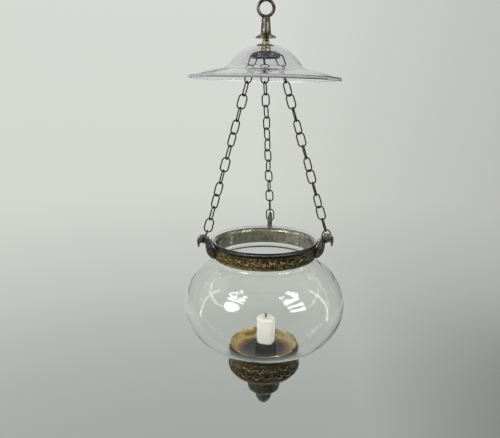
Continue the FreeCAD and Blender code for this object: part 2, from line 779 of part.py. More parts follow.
def collar_band():
    inner = collar_inner
    gap_arc = s.lip_flare - s.clearance
    bead_top = s.band_height + s.bead_height
    rise = bead_top - (flare_centre - collar_foot)
    top_across = s.neck_radius + s.lip_flare - root(gap_arc * gap_arc - rise * rise)
    lean = band_radius - top_across
    chord = root(s.bead_height * s.bead_height + lean * lean)
    bead_arc = (chord * chord / 4 + s.bead_stand * s.bead_stand) / (s.bead_stand * 2)
    border_radius = band_radius + s.border_stand
    body = new_body("collar_band")
    revolve(body, "band", [
        (inner, 0),
        (inner + s.edge_wall, 0),
        (border_radius, s.edge_height),
        (border_radius, s.edge_height + s.border),
        (band_radius, s.edge_height + s.border),
        (band_radius, s.band_height - s.border),
        (border_radius, s.band_height - s.border),
        (border_radius, s.band_height),
        (band_radius, s.band_height, bead_arc, 1),
        (top_across, bead_top, gap_arc, 1),
        (inner, flare_centre - collar_foot),
    ])
    middle = (s.edge_height + s.band_height) / 2

    def draw(sketch):
        add_circle(sketch, 0, middle, s.rosette_radius)
        beside = s.rosette_radius + s.leaf_length / 2
        lean = cosine(s.leaf_lean), sine(s.leaf_lean)
        for side in (1, -1):
            add_leaf(sketch, beside * side, middle, s.leaf_length, s.leaf_width, *lean)

    start = inner + (band_radius - inner) / 3
    emboss(body, "ornament", start, band_radius + s.relief - start, s.band_repeats, draw)
    body.setExpression("Placement.Base.z", collar_foot.text)
    return body


dish_under = lower_glass(s.dish_floor, inner_end_arc) + s.clearance
socket_foot = dish_under + s.dish_metal
socket_floor = socket_foot + s.dish_metal
candle_foot = socket_floor + s.bolt_head
candle_bore = s.candle_radius + s.clearance
bolt_bore = s.bolt_radius + s.clearance / 2
socket_bore = bolt_bore + s.socket_offset
washer_top = lower_glass(s.bowl_hole, end_arc)
jar_nut_top = washer_top - s.washer
cup_rim = lower_glass(s.cup_radius - s.cup_wall, end_arc) - s.clearance / 2
cup_foot = cup_rim - s.cup_height
bulb_top = cup_foot + s.cup_foot_ring
bulb_foot = bulb_top - s.bulb_upper - s.bulb_lower
tip_top = bulb_foot
bolt_end = tip_top - s.tip_grip


def drip_dish():
    turned("drip_dish", dish_under, [
        (bolt_bore, 0),
        (s.dish_floor, 0, s.dish_arc, 1),
        (s.dish_radius, s.dish_depth),
        (s.dish_radius - s.dish_metal, s.dish_depth, s.dish_arc - s.dish_metal, -1),
        (s.dish_floor, s.dish_metal),
        (bolt_bore, s.dish_metal),
    ])


def dish_pad():
    radius = s.pad_radius
    arc = inner_end_arc - s.clearance / 2
    turned("dish_pad", dish_under, [
        (bolt_bore, lower_glass(bolt_bore, arc) - dish_under, arc, 1),
        (radius, lower_glass(radius, arc) - dish_under),
        (radius, 0),
        (bolt_bore, 0),
    ])


def candle_socket():
    socket = turned("candle_socket", socket_foot, [
        (socket_bore, 0),
        (candle_bore + s.dish_metal, 0),
        (candle_bore + s.dish_metal, s.socket_height),
        (candle_bore, s.socket_height),
        (candle_bore, s.dish_metal),
        (socket_bore, s.dish_metal),
    ])
    socket.setExpression("Placement.Base.x", s.socket_offset.text)


def candle():
    radius = s.candle_radius
    wick_bore = s.wick_radius
    arc = (radius * radius + s.candle_dome * s.candle_dome) / (s.candle_dome * 2)
    edge = s.candle_height
    bore_up = edge + s.candle_dome - arc + root(arc * arc - wick_bore * wick_bore)
    stick = turned("candle", candle_foot, [
        (0, 0),
        (radius, 0),
        (radius, edge, arc, 1),
        (wick_bore, bore_up),
        (wick_bore, edge + s.candle_dome - s.wick_depth),
        (0, edge + s.candle_dome - s.wick_depth),
    ])
    stick.setExpression("Placement.Base.x", s.socket_offset.text)


def candle_wick():
    foot = candle_foot + s.candle_height + s.candle_dome - s.wick_depth
    wick = doc.addObject("Part::Cylinder", "candle_wick")
    wick.Label = "candle_wick"
    wick.setExpression("Radius", s.wick_radius.text)
    wick.setExpression("Height", (s.wick_depth + s.wick_length).text)
    wick.setExpression("Placement.Base.x", s.socket_offset.text)
    wick.setExpression("Placement.Base.z", foot.text)
    parts.append(wick)


def tie_bolt():
    length = candle_foot - bolt_end
    turned("tie_bolt", bolt_end, [
        (0, 0),
        (s.bolt_radius, 0),
        (s.bolt_radius, length - s.bolt_head),
        (s.bolt_head_radius, length - s.bolt_head),
        (s.bolt_head_radius, length),
        (0, length),
    ])


def bottom_cup():
    wall = s.cup_wall
    side_foot = s.cup_height - s.cup_side
    side_radius = s.cup_radius - s.cup_draft
    floor = s.cup_foot_ring
    recess = s.cup_foot_radius - s.cup_foot_width
    body = new_body("bottom_cup")
    revolve(body, "cup", [
        (bolt_bore, floor),
        (recess, floor),
        (recess, 0),
        (s.cup_foot_radius, 0),
        (s.cup_foot_radius, floor, s.cup_belly_arc, 1),
        (side_radius, side_foot),
        (s.cup_radius, s.cup_height),
        (s.cup_radius - wall, s.cup_height),
        (side_radius - wall, side_foot, s.cup_belly_arc - wall, -1),
        (s.cup_foot_radius - wall / 2, floor + wall),
        (bolt_bore, floor + wall),
    ])

    def draw(sketch):
        middle = s.cup_height - s.cup_side / 2
        add_leaf(sketch, 0, middle, s.cup_leaf_length, s.cup_leaf_width, 0, 1)

    start = s.cup_radius - s.cup_draft - wall / 4
    emboss(body, "leaves", start, s.cup_radius + s.relief - start, s.cup_repeats, draw)
    body.setExpression("Placement.Base.z", cup_foot.text)


def finial_bulb():
    lower_radius = s.bulb_foot_radius
    turned("finial_bulb", bulb_foot, [
        (bolt_bore, 0),
        (lower_radius - s.bulb_ring / 2, 0),
        (lower_radius, s.bulb_ring / 2),
        (lower_radius - s.bulb_ring / 2, s.bulb_ring, s.bulb_lower_arc, 1),
        (s.bulb_radius, s.bulb_lower, s.bulb_upper_arc, 1),
        (s.bulb_top_radius, s.bulb_lower + s.bulb_upper),
        (bolt_bore, s.bulb_lower + s.bulb_upper),
    ])


def finial_tip():
    depth = s.tip_grip + s.clearance
    turned("finial_tip", tip_top, [
        (bolt_bore, 0),
        (bolt_bore, -depth),
        (0, -depth),
        (0, -s.tip_length, s.tip_arc, 1),
        (s.tip_radius, -s.tip_collar),
        (s.tip_radius, 0),
    ])


hanger_ring()
stem_pin()
suspension_rod()
saucer_flange()
neck_ferrule()
ring_disc(
    "upper_washer",
    ferrule_foot - s.washer,
    rod_bore,
    s.ferrule_band_radius,
    s.washer,
)
smoke_bell()
ring_disc("lower_washer", nut_top, rod_bore, s.washer_radius, s.washer)
ring_disc("clamp_nut", carrier_top, s.rod_radius, s.nut_radius, s.nut_height)
chain_carrier()
ring_disc(
    "carrier_nut",
    end_nut_top - s.end_nut_height,
    s.rod_radius,
    s.end_nut_radius,
    s.end_nut_height,
)
for place, name in enumerate(CHAINS):
    chain(name, place)
glass_bowl()
collar = collar_band()
doc.recompute()
for name in CHAINS:
    bird_hook(name, collar)
drip_dish()
dish_pad()
candle_socket()
candle()
candle_wick()
tie_bolt()
ring_disc("jar_washer", jar_nut_top, bolt_bore, s.jar_washer_radius, s.washer)
ring_disc(
    "jar_nut",
    jar_nut_top - s.jar_nut_height,
    s.bolt_radius,
    s.jar_nut_radius,
    s.jar_nut_height,
)
bottom_cup()
finial_bulb()
finial_tip()
doc.recompute()

for item in doc.Objects:
    if "Invalid" in item.State or "Error" in item.State:
        raise RuntimeError("failed: " + item.Name)
os.makedirs("parts", exist_ok=True)
for part in parts:
    if part.Shape.isNull() or not part.Shape.isValid():
        raise RuntimeError("bad shape: " + part.Label)
for part in parts:
    part.Shape.exportStep("parts/" + part.Label + ".step")
    print(part.Label, len(part.Shape.Solids), round(part.Shape.Volume, 1))
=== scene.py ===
import math

import bpy
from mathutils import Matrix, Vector


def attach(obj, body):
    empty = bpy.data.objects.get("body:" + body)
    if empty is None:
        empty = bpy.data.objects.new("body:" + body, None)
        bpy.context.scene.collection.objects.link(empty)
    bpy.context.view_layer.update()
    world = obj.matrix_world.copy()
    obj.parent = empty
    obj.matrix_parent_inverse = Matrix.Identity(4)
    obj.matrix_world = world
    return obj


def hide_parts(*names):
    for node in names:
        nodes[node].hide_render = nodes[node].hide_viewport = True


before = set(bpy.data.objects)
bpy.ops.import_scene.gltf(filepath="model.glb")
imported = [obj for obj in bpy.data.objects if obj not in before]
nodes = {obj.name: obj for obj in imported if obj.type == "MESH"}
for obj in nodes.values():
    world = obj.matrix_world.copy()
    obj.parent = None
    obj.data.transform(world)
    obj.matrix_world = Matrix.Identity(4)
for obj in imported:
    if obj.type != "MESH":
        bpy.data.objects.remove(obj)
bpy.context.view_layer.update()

mm = 0.001
weldGap = 0.002 * mm  # Vertices closer than this are merged


def deselectAll():
    if bpy.context.object and bpy.context.object.mode != "OBJECT":
        bpy.ops.object.mode_set(mode="OBJECT")
    bpy.ops.object.select_all(action="DESELECT")


def pick(piece):
    deselectAll()
    piece.select_set(True)
    bpy.context.view_layer.objects.active = piece


def joinPieces(pieces):
    pick(pieces[0])
    for piece in pieces[1:]:
        piece.select_set(True)
    bpy.ops.object.join()
    return bpy.context.object


def applyPlace(piece, location=(0, 0, 0), rotation=(0, 0, 0), scale=(1, 1, 1)):
    pick(piece)
    piece.location = Vector(piece.location) + Vector(location) * mm
    piece.rotation_euler = [math.radians(angle) for angle in rotation]
    piece.scale = scale
    bpy.ops.object.transform_apply(location=True, rotation=True, scale=True)


def copyPiece(piece, name):
    copy = piece.copy()
    copy.data = piece.data.copy()
    copy.name = copy.data.name = name
    bpy.context.collection.objects.link(copy)
    return copy


def sineCosine(angle):
    return math.sin(math.radians(angle)), math.cos(math.radians(angle))


arcTurn, arcStep = 0.09, 2.5  # The most an arc turns (radians) and runs (mm) in a step


# An arc of the given radius between two points; side 1 has its centre left of the way.
def arcPoints(start, end, radius, side):
    start, end = Vector(start), Vector(end)
    chord = end - start
    rise = math.sqrt(max(radius * radius - chord.length_squared / 4, 0))
    left = Vector((-chord.y, chord.x)).normalized()
    centre = (start + end) / 2 + left * rise * side
    spoke = start - centre
    sweep = 2 * math.asin(min(chord.length / 2 / radius, 1)) * side
    steps = max(2, math.ceil(abs(sweep) / arcTurn), math.ceil(abs(sweep) * radius / arcStep))
    points = []
    for k in range(1, steps):
        turn = sweep * k / steps
        points.append((
            centre.x + spoke.x * math.cos(turn) - spoke.y * math.sin(turn),
            centre.y + spoke.x * math.sin(turn) + spoke.y * math.cos(turn),
        ))
    return points


# Corners are (across, up), with an arc radius and side where an arc runs on from there.
def outlinePoints(corners, closed):
    following = corners[1:] + corners[:1] if closed else corners[1:]
    points = []
    for corner, after in zip(corners, following):
        points.append(corner[:2])
        if len(corner) == 4:
            points += arcPoints(corner[:2], after[:2], corner[2], corner[3])
    points.append(following[-1][:2])
    return points


# One vertex is extruded along the outline, and the line is spun round the axis.
def turnedPiece(name, corners, closed=True, steps=192):
    points = outlinePoints(corners, closed)
    deselectAll()
    bpy.ops.mesh.primitive_plane_add(size=mm)
    piece = bpy.context.object
    piece.name = piece.data.name = name
    bpy.ops.object.mode_set(mode="EDIT")
    bpy.ops.mesh.merge(type="CENTER")
    bpy.ops.transform.translate(value=(points[0][0] * mm, 0, points[0][1] * mm))
    for here, there in zip(points, points[1:]):
        step = ((there[0] - here[0]) * mm, 0, (there[1] - here[1]) * mm)
        bpy.ops.mesh.extrude_vertices_move(TRANSFORM_OT_translate={"value": step})
    bpy.ops.mesh.select_all(action="SELECT")
    bpy.ops.mesh.remove_doubles(threshold=weldGap)
    bpy.ops.mesh.select_all(action="SELECT")
    bpy.ops.mesh.spin(steps=steps, angle=2 * math.pi, center=(0, 0, 0), axis=(0, 0, 1))
    bpy.ops.mesh.select_all(action="SELECT")
    bpy.ops.mesh.remove_doubles(threshold=weldGap)
    bpy.ops.mesh.normals_make_consistent(inside=False)
    bpy.ops.object.mode_set(mode="OBJECT")
    return piece


# A disc is extruded from section to section in the XZ plane. A section is
# (across, up, direction of its width, half width, half thickness along Y).
def sweptPiece(name, sections, sides=6, depth=0.0):
    across, up, angle, wide, thick = sections[0]
    deselectAll()
    bpy.ops.mesh.primitive_circle_add(
        vertices=sides,
        radius=mm,
        fill_type="NGON",
        location=(across * mm, depth * mm, up * mm),
    )
    piece = bpy.context.object
    piece.name = piece.data.name = name
    bpy.ops.object.mode_set(mode="EDIT")
    bpy.ops.transform.resize(value=(wide, thick, 1))
    bpy.ops.transform.rotate(
        value=math.radians(angle),
        orient_axis="Y",
        center_override=piece.location,
    )
    for nextSection in sections[1:]:
        newAcross, newUp, newAngle, newWide, newThick = nextSection
        centre = (newAcross * mm, depth * mm, newUp * mm)
        step = ((newAcross - across) * mm, 0, (newUp - up) * mm)
        bpy.ops.mesh.extrude_region_move(TRANSFORM_OT_translate={"value": step})
        bpy.ops.transform.rotate(
            value=math.radians(newAngle - angle),
            orient_axis="Y",
            center_override=centre,
        )
        bpy.ops.transform.resize(
            value=(newWide / wide, newThick / thick, newWide / wide),
            center_override=centre,
        )
        across, up, angle, wide, thick = nextSection
    bpy.ops.mesh.select_all(action="SELECT")
    bpy.ops.mesh.normals_make_consistent(inside=False)
    bpy.ops.object.mode_set(mode="OBJECT")
    applyPlace(piece)
    return piece


# How full a pointed shape is at a share of its length; it never quite comes to a point.
def taper(share, tip, power):
    return math.sin(math.pi * min(max(share, tip), 1 - tip)) ** power


# A stroke of relief along a bent line, pointed at both ends.
def reliefStroke(start, heading, length, width, relief, depth, bend=0.0, count=7):
    across, up = start
    sections = []
    for k in range(count + 1):
        fullness = taper(k / count, 0.02, 0.7)
        sections.append((
            across,
            up,
            heading - 90,
            width / 2 * fullness,
            relief * (0.35 + 0.65 * fullness),
        ))
        heading += bend / count
        sine, cosine = sineCosine(heading)
        across += length / count * cosine
        up += length / count * sine
    return sweptPiece("stroke", sections, depth=depth)


# Start along (as a share of half a unit) and above the middle, heading, length, width,
# bend and steps of the curl, the leaves and the tendril on each stem of the scroll
scrollStrokes = [
    (0.30, 2.2, 14.4, 9.0, 1.1, -430, 12),
    (0.12, 1.2, 100, 3.4, 1.2, 60, 5),
    (0.52, 2.7, 62, 2.9, 1.1, 70, 5),
    (0.80, 1.4, 30, 3.3, 1.1, -50, 5),
    (0.95, 0.4, -120, 3.6, 1.0, 60, 5),
]
scrollBerries = [(0.46, 0.3, 0.75), (0.98, 3.4, 0.6), (0.30, -3.6, 0.55)]
scrollStem = {"heading": 48, "length": 1.18, "width": 1.15, "bend": -96}


# A running scroll one unit long, whose second half is the first turned over.
def scrollUnit(unit, middle, depth, relief, size=1.0):
    half, width = unit / 2, scrollStem["width"] * size
    parts = []
    for side, root in ((1, -half), (-1, 0)):
        parts.append(reliefStroke(
            (root, middle), scrollStem["heading"] * side, half * scrollStem["length"], width,
            relief, depth, scrollStem["bend"] * side,
        ))
        for along, above, heading, length, share, bend, count in scrollStrokes:
            parts.append(reliefStroke(
                (root + half * along, middle + above * size * side), heading * side,
                length * size, width * share, relief, depth, bend * side, count,
            ))
        for along, above, radius in scrollBerries:
            berryUp = middle + above * size * side
            parts.append(reliefDot(root + half * along, berryUp, radius * size, depth))
    return parts


# The point and the outward direction at a length along an outline.
def alongLine(points, length):
    for start, end in zip(points, points[1:]):
        reach = math.dist(start, end)
        if length <= reach:
            break
        length -= reach
    share = length / reach
    across = start[0] + (end[0] - start[0]) * share
    up = start[1] + (end[1] - start[1]) * share
    return across, up, math.degrees(math.atan2(end[1] - start[1], end[0] - start[0])) - 90


# A pointed leaf that follows a turned outline up from a start length.
def profileLeaf(points, start, length, width, relief, turn=0.0, count=8):
    sections = []
    for k in range(count + 1):
        fullness = taper(k / count, 0.03, 0.6)
        across, up, normal = alongLine(points, start + length * k / count)
        thickness = relief * (0.3 + 0.7 * fullness)
        sections.append((across, up, normal, thickness, width / 2 * fullness))
    return turnOnAxis(sweptPiece("leaf", sections), turn)


def reliefDot(across, up, radius, depth, flat=0.6):
    deselectAll()
    bpy.ops.mesh.primitive_ico_sphere_add(
        subdivisions=1,
        radius=radius * mm,
        location=(across * mm, depth * mm, up * mm),
    )
    dot = bpy.context.object
    bpy.ops.object.mode_set(mode="EDIT")
    bpy.ops.transform.resize(value=(1, flat, 1), center_override=dot.location)
    bpy.ops.object.mode_set(mode="OBJECT")
    applyPlace(dot)
    return dot


# Copies a motif round the axis, all in one mesh.
def repeatRound(piece, count):
    pick(piece)
    bpy.ops.object.mode_set(mode="EDIT")
    bpy.ops.mesh.select_all(action="SELECT")
    bpy.ops.mesh.spin(
        steps=count - 1,
        dupli=True,
        angle=2 * math.pi * (count - 1) / count,
        center=(0, 0, 0),
        axis=(0, 0, 1),
    )
    bpy.ops.object.mode_set(mode="OBJECT")
    return piece


def turnOnAxis(piece, angle):
    applyPlace(piece, rotation=(0, 0, angle))
    return piece


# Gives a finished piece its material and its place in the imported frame.
def dress(piece, material, replaced, smooth=35):
    pick(piece)
    bpy.ops.object.shade_smooth_by_angle(angle=math.radians(smooth))
    piece.data.materials.clear()
    piece.data.materials.append(material)
    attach(piece, "root")
    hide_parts(*replaced)
    print("made", piece.name, len(piece.data.polygons), "faces")


def newMaterial(name):
    material = bpy.data.materials.new(name)
    material.use_nodes = True
    material.node_tree.nodes.clear()
    return material, material.node_tree


# Inputs are links or values; a colour is given as red, green and blue.
def addNode(tree, kind, inputs=None, **settings):
    node = tree.nodes.new("ShaderNode" + kind)
    for name, value in settings.items():
        setattr(node, name, value)
    for name, value in (inputs or {}).items():
        entry = node.inputs[name]
        if isinstance(value, bpy.types.NodeSocket):
            tree.links.new(value, entry)
        else:
            entry.default_value = (*value, 1.0) if entry.type == "RGBA" else value
    return node


def combine(tree, operation, first, second, kind="Math"):
    return addNode(tree, kind, {0: first, 1: second}, operation=operation).outputs[0]


def mixColours(tree, factor, first, second):
    mix = addNode(tree, "Mix", {0: factor, 6: first, 7: second}, data_type="RGBA")
    return mix.outputs[2]


def mixValues(tree, factor, first, second):
    return addNode(tree, "Mix", {0: factor, 2: first, 3: second}, data_type="FLOAT").outputs[0]


def rangeShare(tree, value, low, high, first=0.0, last=1.0, smooth=True):
    share = addNode(
        tree,
        "MapRange",
        {"Value": value, "From Min": low, "From Max": high, "To Min": first, "To Max": last},
        interpolation_type="SMOOTHSTEP" if smooth else "LINEAR",
    )
    return share.outputs["Result"]


def noiseValue(tree, place, scale, detail=4.0, rough=0.55):
    noise = addNode(
        tree,
        "TexNoise",
        {"Vector": place, "Scale": scale, "Detail": detail, "Roughness": rough},
    )
    return noise.outputs["Fac"]


# The bump, shader and output that every material of the lantern ends with.
def finishMaterial(tree, values, height, inputs):
    bump = addNode(tree, "Bump", {
        "Strength": values["bump"],
        "Distance": values["bumpDepth"] * mm,
        "Height": height,
    })
    shader = addNode(tree, "BsdfPrincipled", dict(inputs, Normal=bump.outputs["Normal"]))
    output = addNode(tree, "OutputMaterial")
    tree.links.new(shader.outputs["BSDF"], output.inputs["Surface"])
    return shader, output


# Cast or turned brass: bright metal where it is handled, brown patina in blotches, and specks that
# are dark pits in most finishes and painted glints where they are brighter than the metal.
def brassMaterial(name, values):
    material, tree = newMaterial(name)
    place = addNode(tree, "TexCoord").outputs["Object"]
    blotch = noiseValue(tree, place, values["blotchScale"], 5.0, 0.6)
    grain = noiseValue(tree, place, values["grainScale"], 3.0, 0.6)
    patina = rangeShare(tree, blotch, *values["patinaRange"])
    tint = mixColours(tree, patina, values["bright"], values["patina"])
    speckAndGlint = rangeShare(tree, grain, *values["speckRange"], 0.0, values["specks"])
    tint = mixColours(tree, speckAndGlint, tint, values["speckAndGlint"])
    rough = rangeShare(tree, blotch, *values["roughRange"], *values["roughness"])
    finishMaterial(tree, values, grain, {
        "Base Color": tint,
        "Metallic": values["metallic"],
        "Roughness": rough,
    })
    return material


# The spoke from the lantern's middle line out to a point, and its length.
def axisSpoke(tree, place):
    spoke = combine(tree, "MULTIPLY", place, (1.0, 1.0, 0.0), "VectorMath")
    return spoke, addNode(tree, "VectorMath", {0: spoke}, operation="LENGTH").outputs["Value"]


# Embossed brass on a punched ground: the further the relief stands out from the middle
# line, the more it is rubbed bright. The inside has its own tones; the rolled bead is coloured
# darker.
def embossedMaterial(name, values):
    material, tree = newMaterial(name)
    coordinates = addNode(tree, "TexCoord")
    place = coordinates.outputs["Object"]
    axes = addNode(tree, "SeparateXYZ", {"Vector": place})
    spoke, radius = axisSpoke(tree, place)
    side = rangeShare(tree, axes.outputs["X"], *values["sides"])
    blotch = noiseValue(tree, place, values["blotchScale"], 4.0, 0.6)
    grain = noiseValue(tree, place, values["grainScale"], 3.0, 0.6)
    punches = addNode(tree, "TexVoronoi", {"Vector": place, "Scale": values["punchScale"]})

    # The ground with its stains, and a painted glint in some of the punch marks
    ground = mixColours(tree, side, values["groundLeft"], values["groundRight"])
    stained = rangeShare(tree, blotch, *values["stainRange"])
    ground = mixColours(tree, stained, ground, values["stain"])
    cell = addNode(tree, "SeparateColor", {"Color": punches.outputs["Color"]})
    speckAndGlint = rangeShare(tree, cell.outputs[0], values["cellShare"], 1.0, 0.0, values["specks"])
    glint = mixColours(tree, side, values["glintLeft"], values["glintRight"])
    ground = mixColours(tree, speckAndGlint, ground, glint)

    # The rubbed relief
    rubbed = rangeShare(tree, radius, values["low"] * mm, values["high"] * mm)
    worn = rangeShare(tree, noiseValue(tree, place, values["wornScale"]), *values["wornRange"])
    share = combine(tree, "MULTIPLY", rubbed, worn)
    tint = mixColours(tree, share, ground, values["crest"])
    # Painted glints also fall on the rubbed relief
    tint = mixColours(tree, mixValues(tree, share, 0.0, speckAndGlint), tint, glint)
    # The rolled bead, above the beadFoot heights, is given a darker colour
    bead = rangeShare(tree, axes.outputs["Z"], *[height * mm for height in values["beadFoot"]])
    tint = mixColours(tree, bead, tint, values["bead"])

    # The lining lies where a face looks back at the middle line
    outward = addNode(
        tree,
        "VectorMath",
        {0: spoke, 1: coordinates.outputs["Normal"]},
        operation="DOT_PRODUCT",
    ).outputs["Value"]
    inside = rangeShare(tree, outward, *values["liningRange"])
    lining = mixColours(tree, side, values["liningLeft"], values["liningRight"])
    mottle = noiseValue(tree, place, values["mottleScale"], 4.0, 0.7)
    mottled = rangeShare(tree, mottle, *values["mottleRange"])
    lining = mixColours(tree, mottled, lining, values["liningDark"])
    streaked = rangeShare(tree, blotch, *values["streakRange"], 0.0, values["streaks"])
    lining = mixColours(tree, streaked, lining, values["liningStain"])
    tint = mixColours(tree, inside, tint, lining)

    height = combine(tree, "ADD", grain, punches.outputs["Distance"])
    finishMaterial(tree, values, height, {
        "Base Color": tint,
        "Metallic": values["metallic"],
        "Roughness": rangeShare(tree, share, 0.0, 1.0, *values["roughness"]),
    })
    return material


# The dish: a painted dark reflection over the floor and its front, a painted brown edge round it,
# and walls that go from gold on one side to a dull reddish brass on the other.
def dishMaterial(name, values):
    material, tree = newMaterial(name)
    place = addNode(tree, "TexCoord").outputs["Object"]
    axes = addNode(tree, "SeparateXYZ", {"Vector": place})
    # The centre of the painted dark reflection is moved a little to the front
    toFront = (0.0, values["paintedReflectionShift"] * mm, 0.0)
    radius = axisSpoke(tree, combine(tree, "ADD", place, toFront, "VectorMath"))[1]
    blotch = noiseValue(tree, place, values["blotchScale"], 4.0, 0.6)
    grain = noiseValue(tree, place, values["grainScale"], 3.0, 0.6)
    wander = values["wander"] * mm
    wander = rangeShare(tree, blotch, *values["wanderRange"], -wander, wander)
    reach = combine(tree, "ADD", radius, wander)
    side = rangeShare(tree, axes.outputs["X"], *values["sides"])
    wall = mixColours(tree, side, values["golden"], values["reddish"])
    patch = rangeShare(tree, blotch, *values["patchRange"], 0.0, values["patches"])
    wall = mixColours(tree, patch, wall, values["brown"])
    # The floor's painted dark reflection fades through a painted brown edge into the wall
    reflectionEnd, edgeEnd, wallStart = [length * mm for length in values["paintedReflectionRange"]]
    edgeShare = rangeShare(tree, reach, reflectionEnd, edgeEnd)
    paintedReflectionEdge = mixColours(tree, edgeShare, values["paintedDarkReflection"], values["paintedReflectionEdge"])
    tint = mixColours(tree, rangeShare(tree, reach, edgeEnd, wallStart), paintedReflectionEdge, wall)
    finishMaterial(tree, values, grain, {
        "Base Color": tint,
        "Metallic": values["metallic"],
        "Roughness": rangeShare(tree, reach, reflectionEnd, wallStart, *values["roughness"]),
    })
    return material


# Blown glass with a faint wave; a density darkens it where it is seen edge on.
def glassMaterial(name, values):
    material, tree = newMaterial(name)
    place = addNode(tree, "TexCoord").outputs["Object"]
    stretched = combine(tree, "MULTIPLY", place, (1.0, 1.0, values["stretch"]), "VectorMath")
    wave = noiseValue(tree, stretched, values["waveScale"], 2.0, 0.4)
    shader, output = finishMaterial(tree, values, wave, {
        "Base Color": values["tint"],
        "Roughness": values["roughness"],
        "IOR": values["bending"],
        "Transmission Weight": values["clear"],
    })
    if values["density"]:
        depth = addNode(tree, "VolumeAbsorption", {
            "Color": values["depthTint"],
            "Density": values["density"],
        })
        tree.links.new(depth.outputs["Volume"], output.inputs["Volume"])
    return material


shadeRange = (0.35, 0.65)  # Of the grain, from a plain finish's light to its shade
softReach = (0.003, 0.002, 0.001)  # How far red, green and blue go into it, in metres


def plainMaterial(name, values):
    material, tree = newMaterial(name)
    place = addNode(tree, "TexCoord").outputs["Object"]
    grain = noiseValue(tree, place, values["grainScale"], 5.0, 0.6)
    tint = mixColours(tree, rangeShare(tree, grain, *shadeRange), values["light"], values["shade"])
    finishMaterial(tree, values, grain, {
        "Base Color": tint,
        "Roughness": values["roughness"],
        "Subsurface Weight": values["soft"],
        "Subsurface Radius": softReach,
    })
    return material


# Finishes: colours are linear, scales are per metre, bump depths are in mm
agedBrass = {
    "bright": (0.27, 0.245, 0.19),
    "patina": (0.09, 0.08, 0.065),
    "speckAndGlint": (0.035, 0.03, 0.025),
    "blotchScale": 160.0,
    "grainScale": 700.0,
    "patinaRange": (0.38, 0.62),
    "speckRange": (0.56, 0.70),
    "specks": 0.75,
    "roughRange": (0.3, 0.7),
    "roughness": (0.24, 0.45),
    "metallic": 1.0,
    "bump": 0.45,
    "bumpDepth": 0.12,
}
goldenBrass = dict(agedBrass, bright=(0.27, 0.235, 0.14), patina=(0.15, 0.125, 0.075))
darkBronze = dict(
    agedBrass,
    bright=(0.095, 0.09, 0.065),
    patina=(0.038, 0.036, 0.027),
    speckAndGlint=(0.015, 0.015, 0.015),
    blotchScale=120.0,
    grainScale=800.0,
    patinaRange=(0.35, 0.65),
    specks=0.5,
    roughness=(0.28, 0.5),
    metallic=0.9,
    bump=0.35,
    bumpDepth=0.08,
)
# The carrier's dark bronze is its own tone; its blue tint is a painted reflection
carrierBlueReflection = dict(
    darkBronze,
    bright=(0.085, 0.085, 0.115),
    patina=(0.028, 0.028, 0.04),
    roughness=(0.2, 0.38),
)
chainWire = dict(
    darkBronze,
    bright=(0.085, 0.066, 0.05),
    patina=(0.026, 0.021, 0.017),
    roughness=(0.25, 0.42),
)
hookBronze = dict(
    darkBronze,
    bright=(0.31, 0.30, 0.265),
    patina=(0.06, 0.06, 0.05),
    # Its specks are brighter than the metal: painted glints
    speckAndGlint=(0.42, 0.40, 0.34),
    blotchScale=420.0,
    specks=0.6,
    roughness=(0.3, 0.42),
    bump=0.6,
    bumpDepth=0.2,
)
finialBronze = dict(
    darkBronze,
    bright=(0.19, 0.18, 0.12),
    patina=(0.065, 0.062, 0.042),
    # Its specks are brighter than the metal: painted glints
    speckAndGlint=(0.50, 0.46, 0.32),
    grainScale=620.0,
    specks=0.7,
)
tipBronze = dict(darkBronze, bright=(0.22, 0.235, 0.215), patina=(0.10, 0.11, 0.10))
ringBronze = dict(
    agedBrass,
    bright=(0.22, 0.195, 0.16),
    patina=(0.06, 0.048, 0.038),
    roughness=(0.34, 0.55),
)
ferruleBrass = dict(agedBrass, bright=(0.58, 0.54, 0.34), patina=(0.30, 0.27, 0.16))
# The brass runs from a warm left to a green right; low and high are the radii in mm
# where the relief starts to be rubbed and is rubbed bright
embossedBrass = {
    "sides": (0.0, 0.055),
    "groundLeft": (0.105, 0.07, 0.024),
    "groundRight": (0.03, 0.034, 0.018),
    "stain": (0.05, 0.042, 0.022),
    "stainRange": (0.4, 0.7),
    "crest": (0.36, 0.29, 0.15),
    # The glint colours are painted glints in the punch marks and on the relief
    "glintLeft": (0.62, 0.48, 0.23),
    "glintRight": (0.24, 0.27, 0.15),
    "bead": (0.05, 0.04, 0.031),
    "liningLeft": (0.17, 0.175, 0.11),
    "liningRight": (0.32, 0.30, 0.23),
    "liningDark": (0.085, 0.08, 0.05),
    "liningStain": (0.13, 0.09, 0.065),
    "liningRange": (0.012, 0.002),
    "streakRange": (0.55, 0.7),
    "streaks": 0.6,
    "mottleScale": 240.0,
    "mottleRange": (0.42, 0.62),
    "blotchScale": 70.0,
    "grainScale": 900.0,
    "punchScale": 760.0,
    "cellShare": 0.62,
    "specks": 1.0,
    "wornScale": 620.0,
    "wornRange": (0.36, 0.52),
    "roughness": (0.46, 0.24),
    "metallic": 0.9,
    "bump": 0.7,
    "bumpDepth": 0.25,
    "low": 62.55,
    "high": 62.95,
    "beadFoot": (-273.8, -273.4),
}
cupBrass = dict(
    embossedBrass,
    groundLeft=(0.072, 0.05, 0.024),
    groundRight=(0.045, 0.042, 0.022),
    crest=(0.20, 0.165, 0.10),
    glintLeft=(0.39, 0.33, 0.20),
    glintRight=(0.27, 0.25, 0.15),
    specks=0.9,
    low=44.9,
    high=46.2,
    beadFoot=(-414.4, -414.0),
)
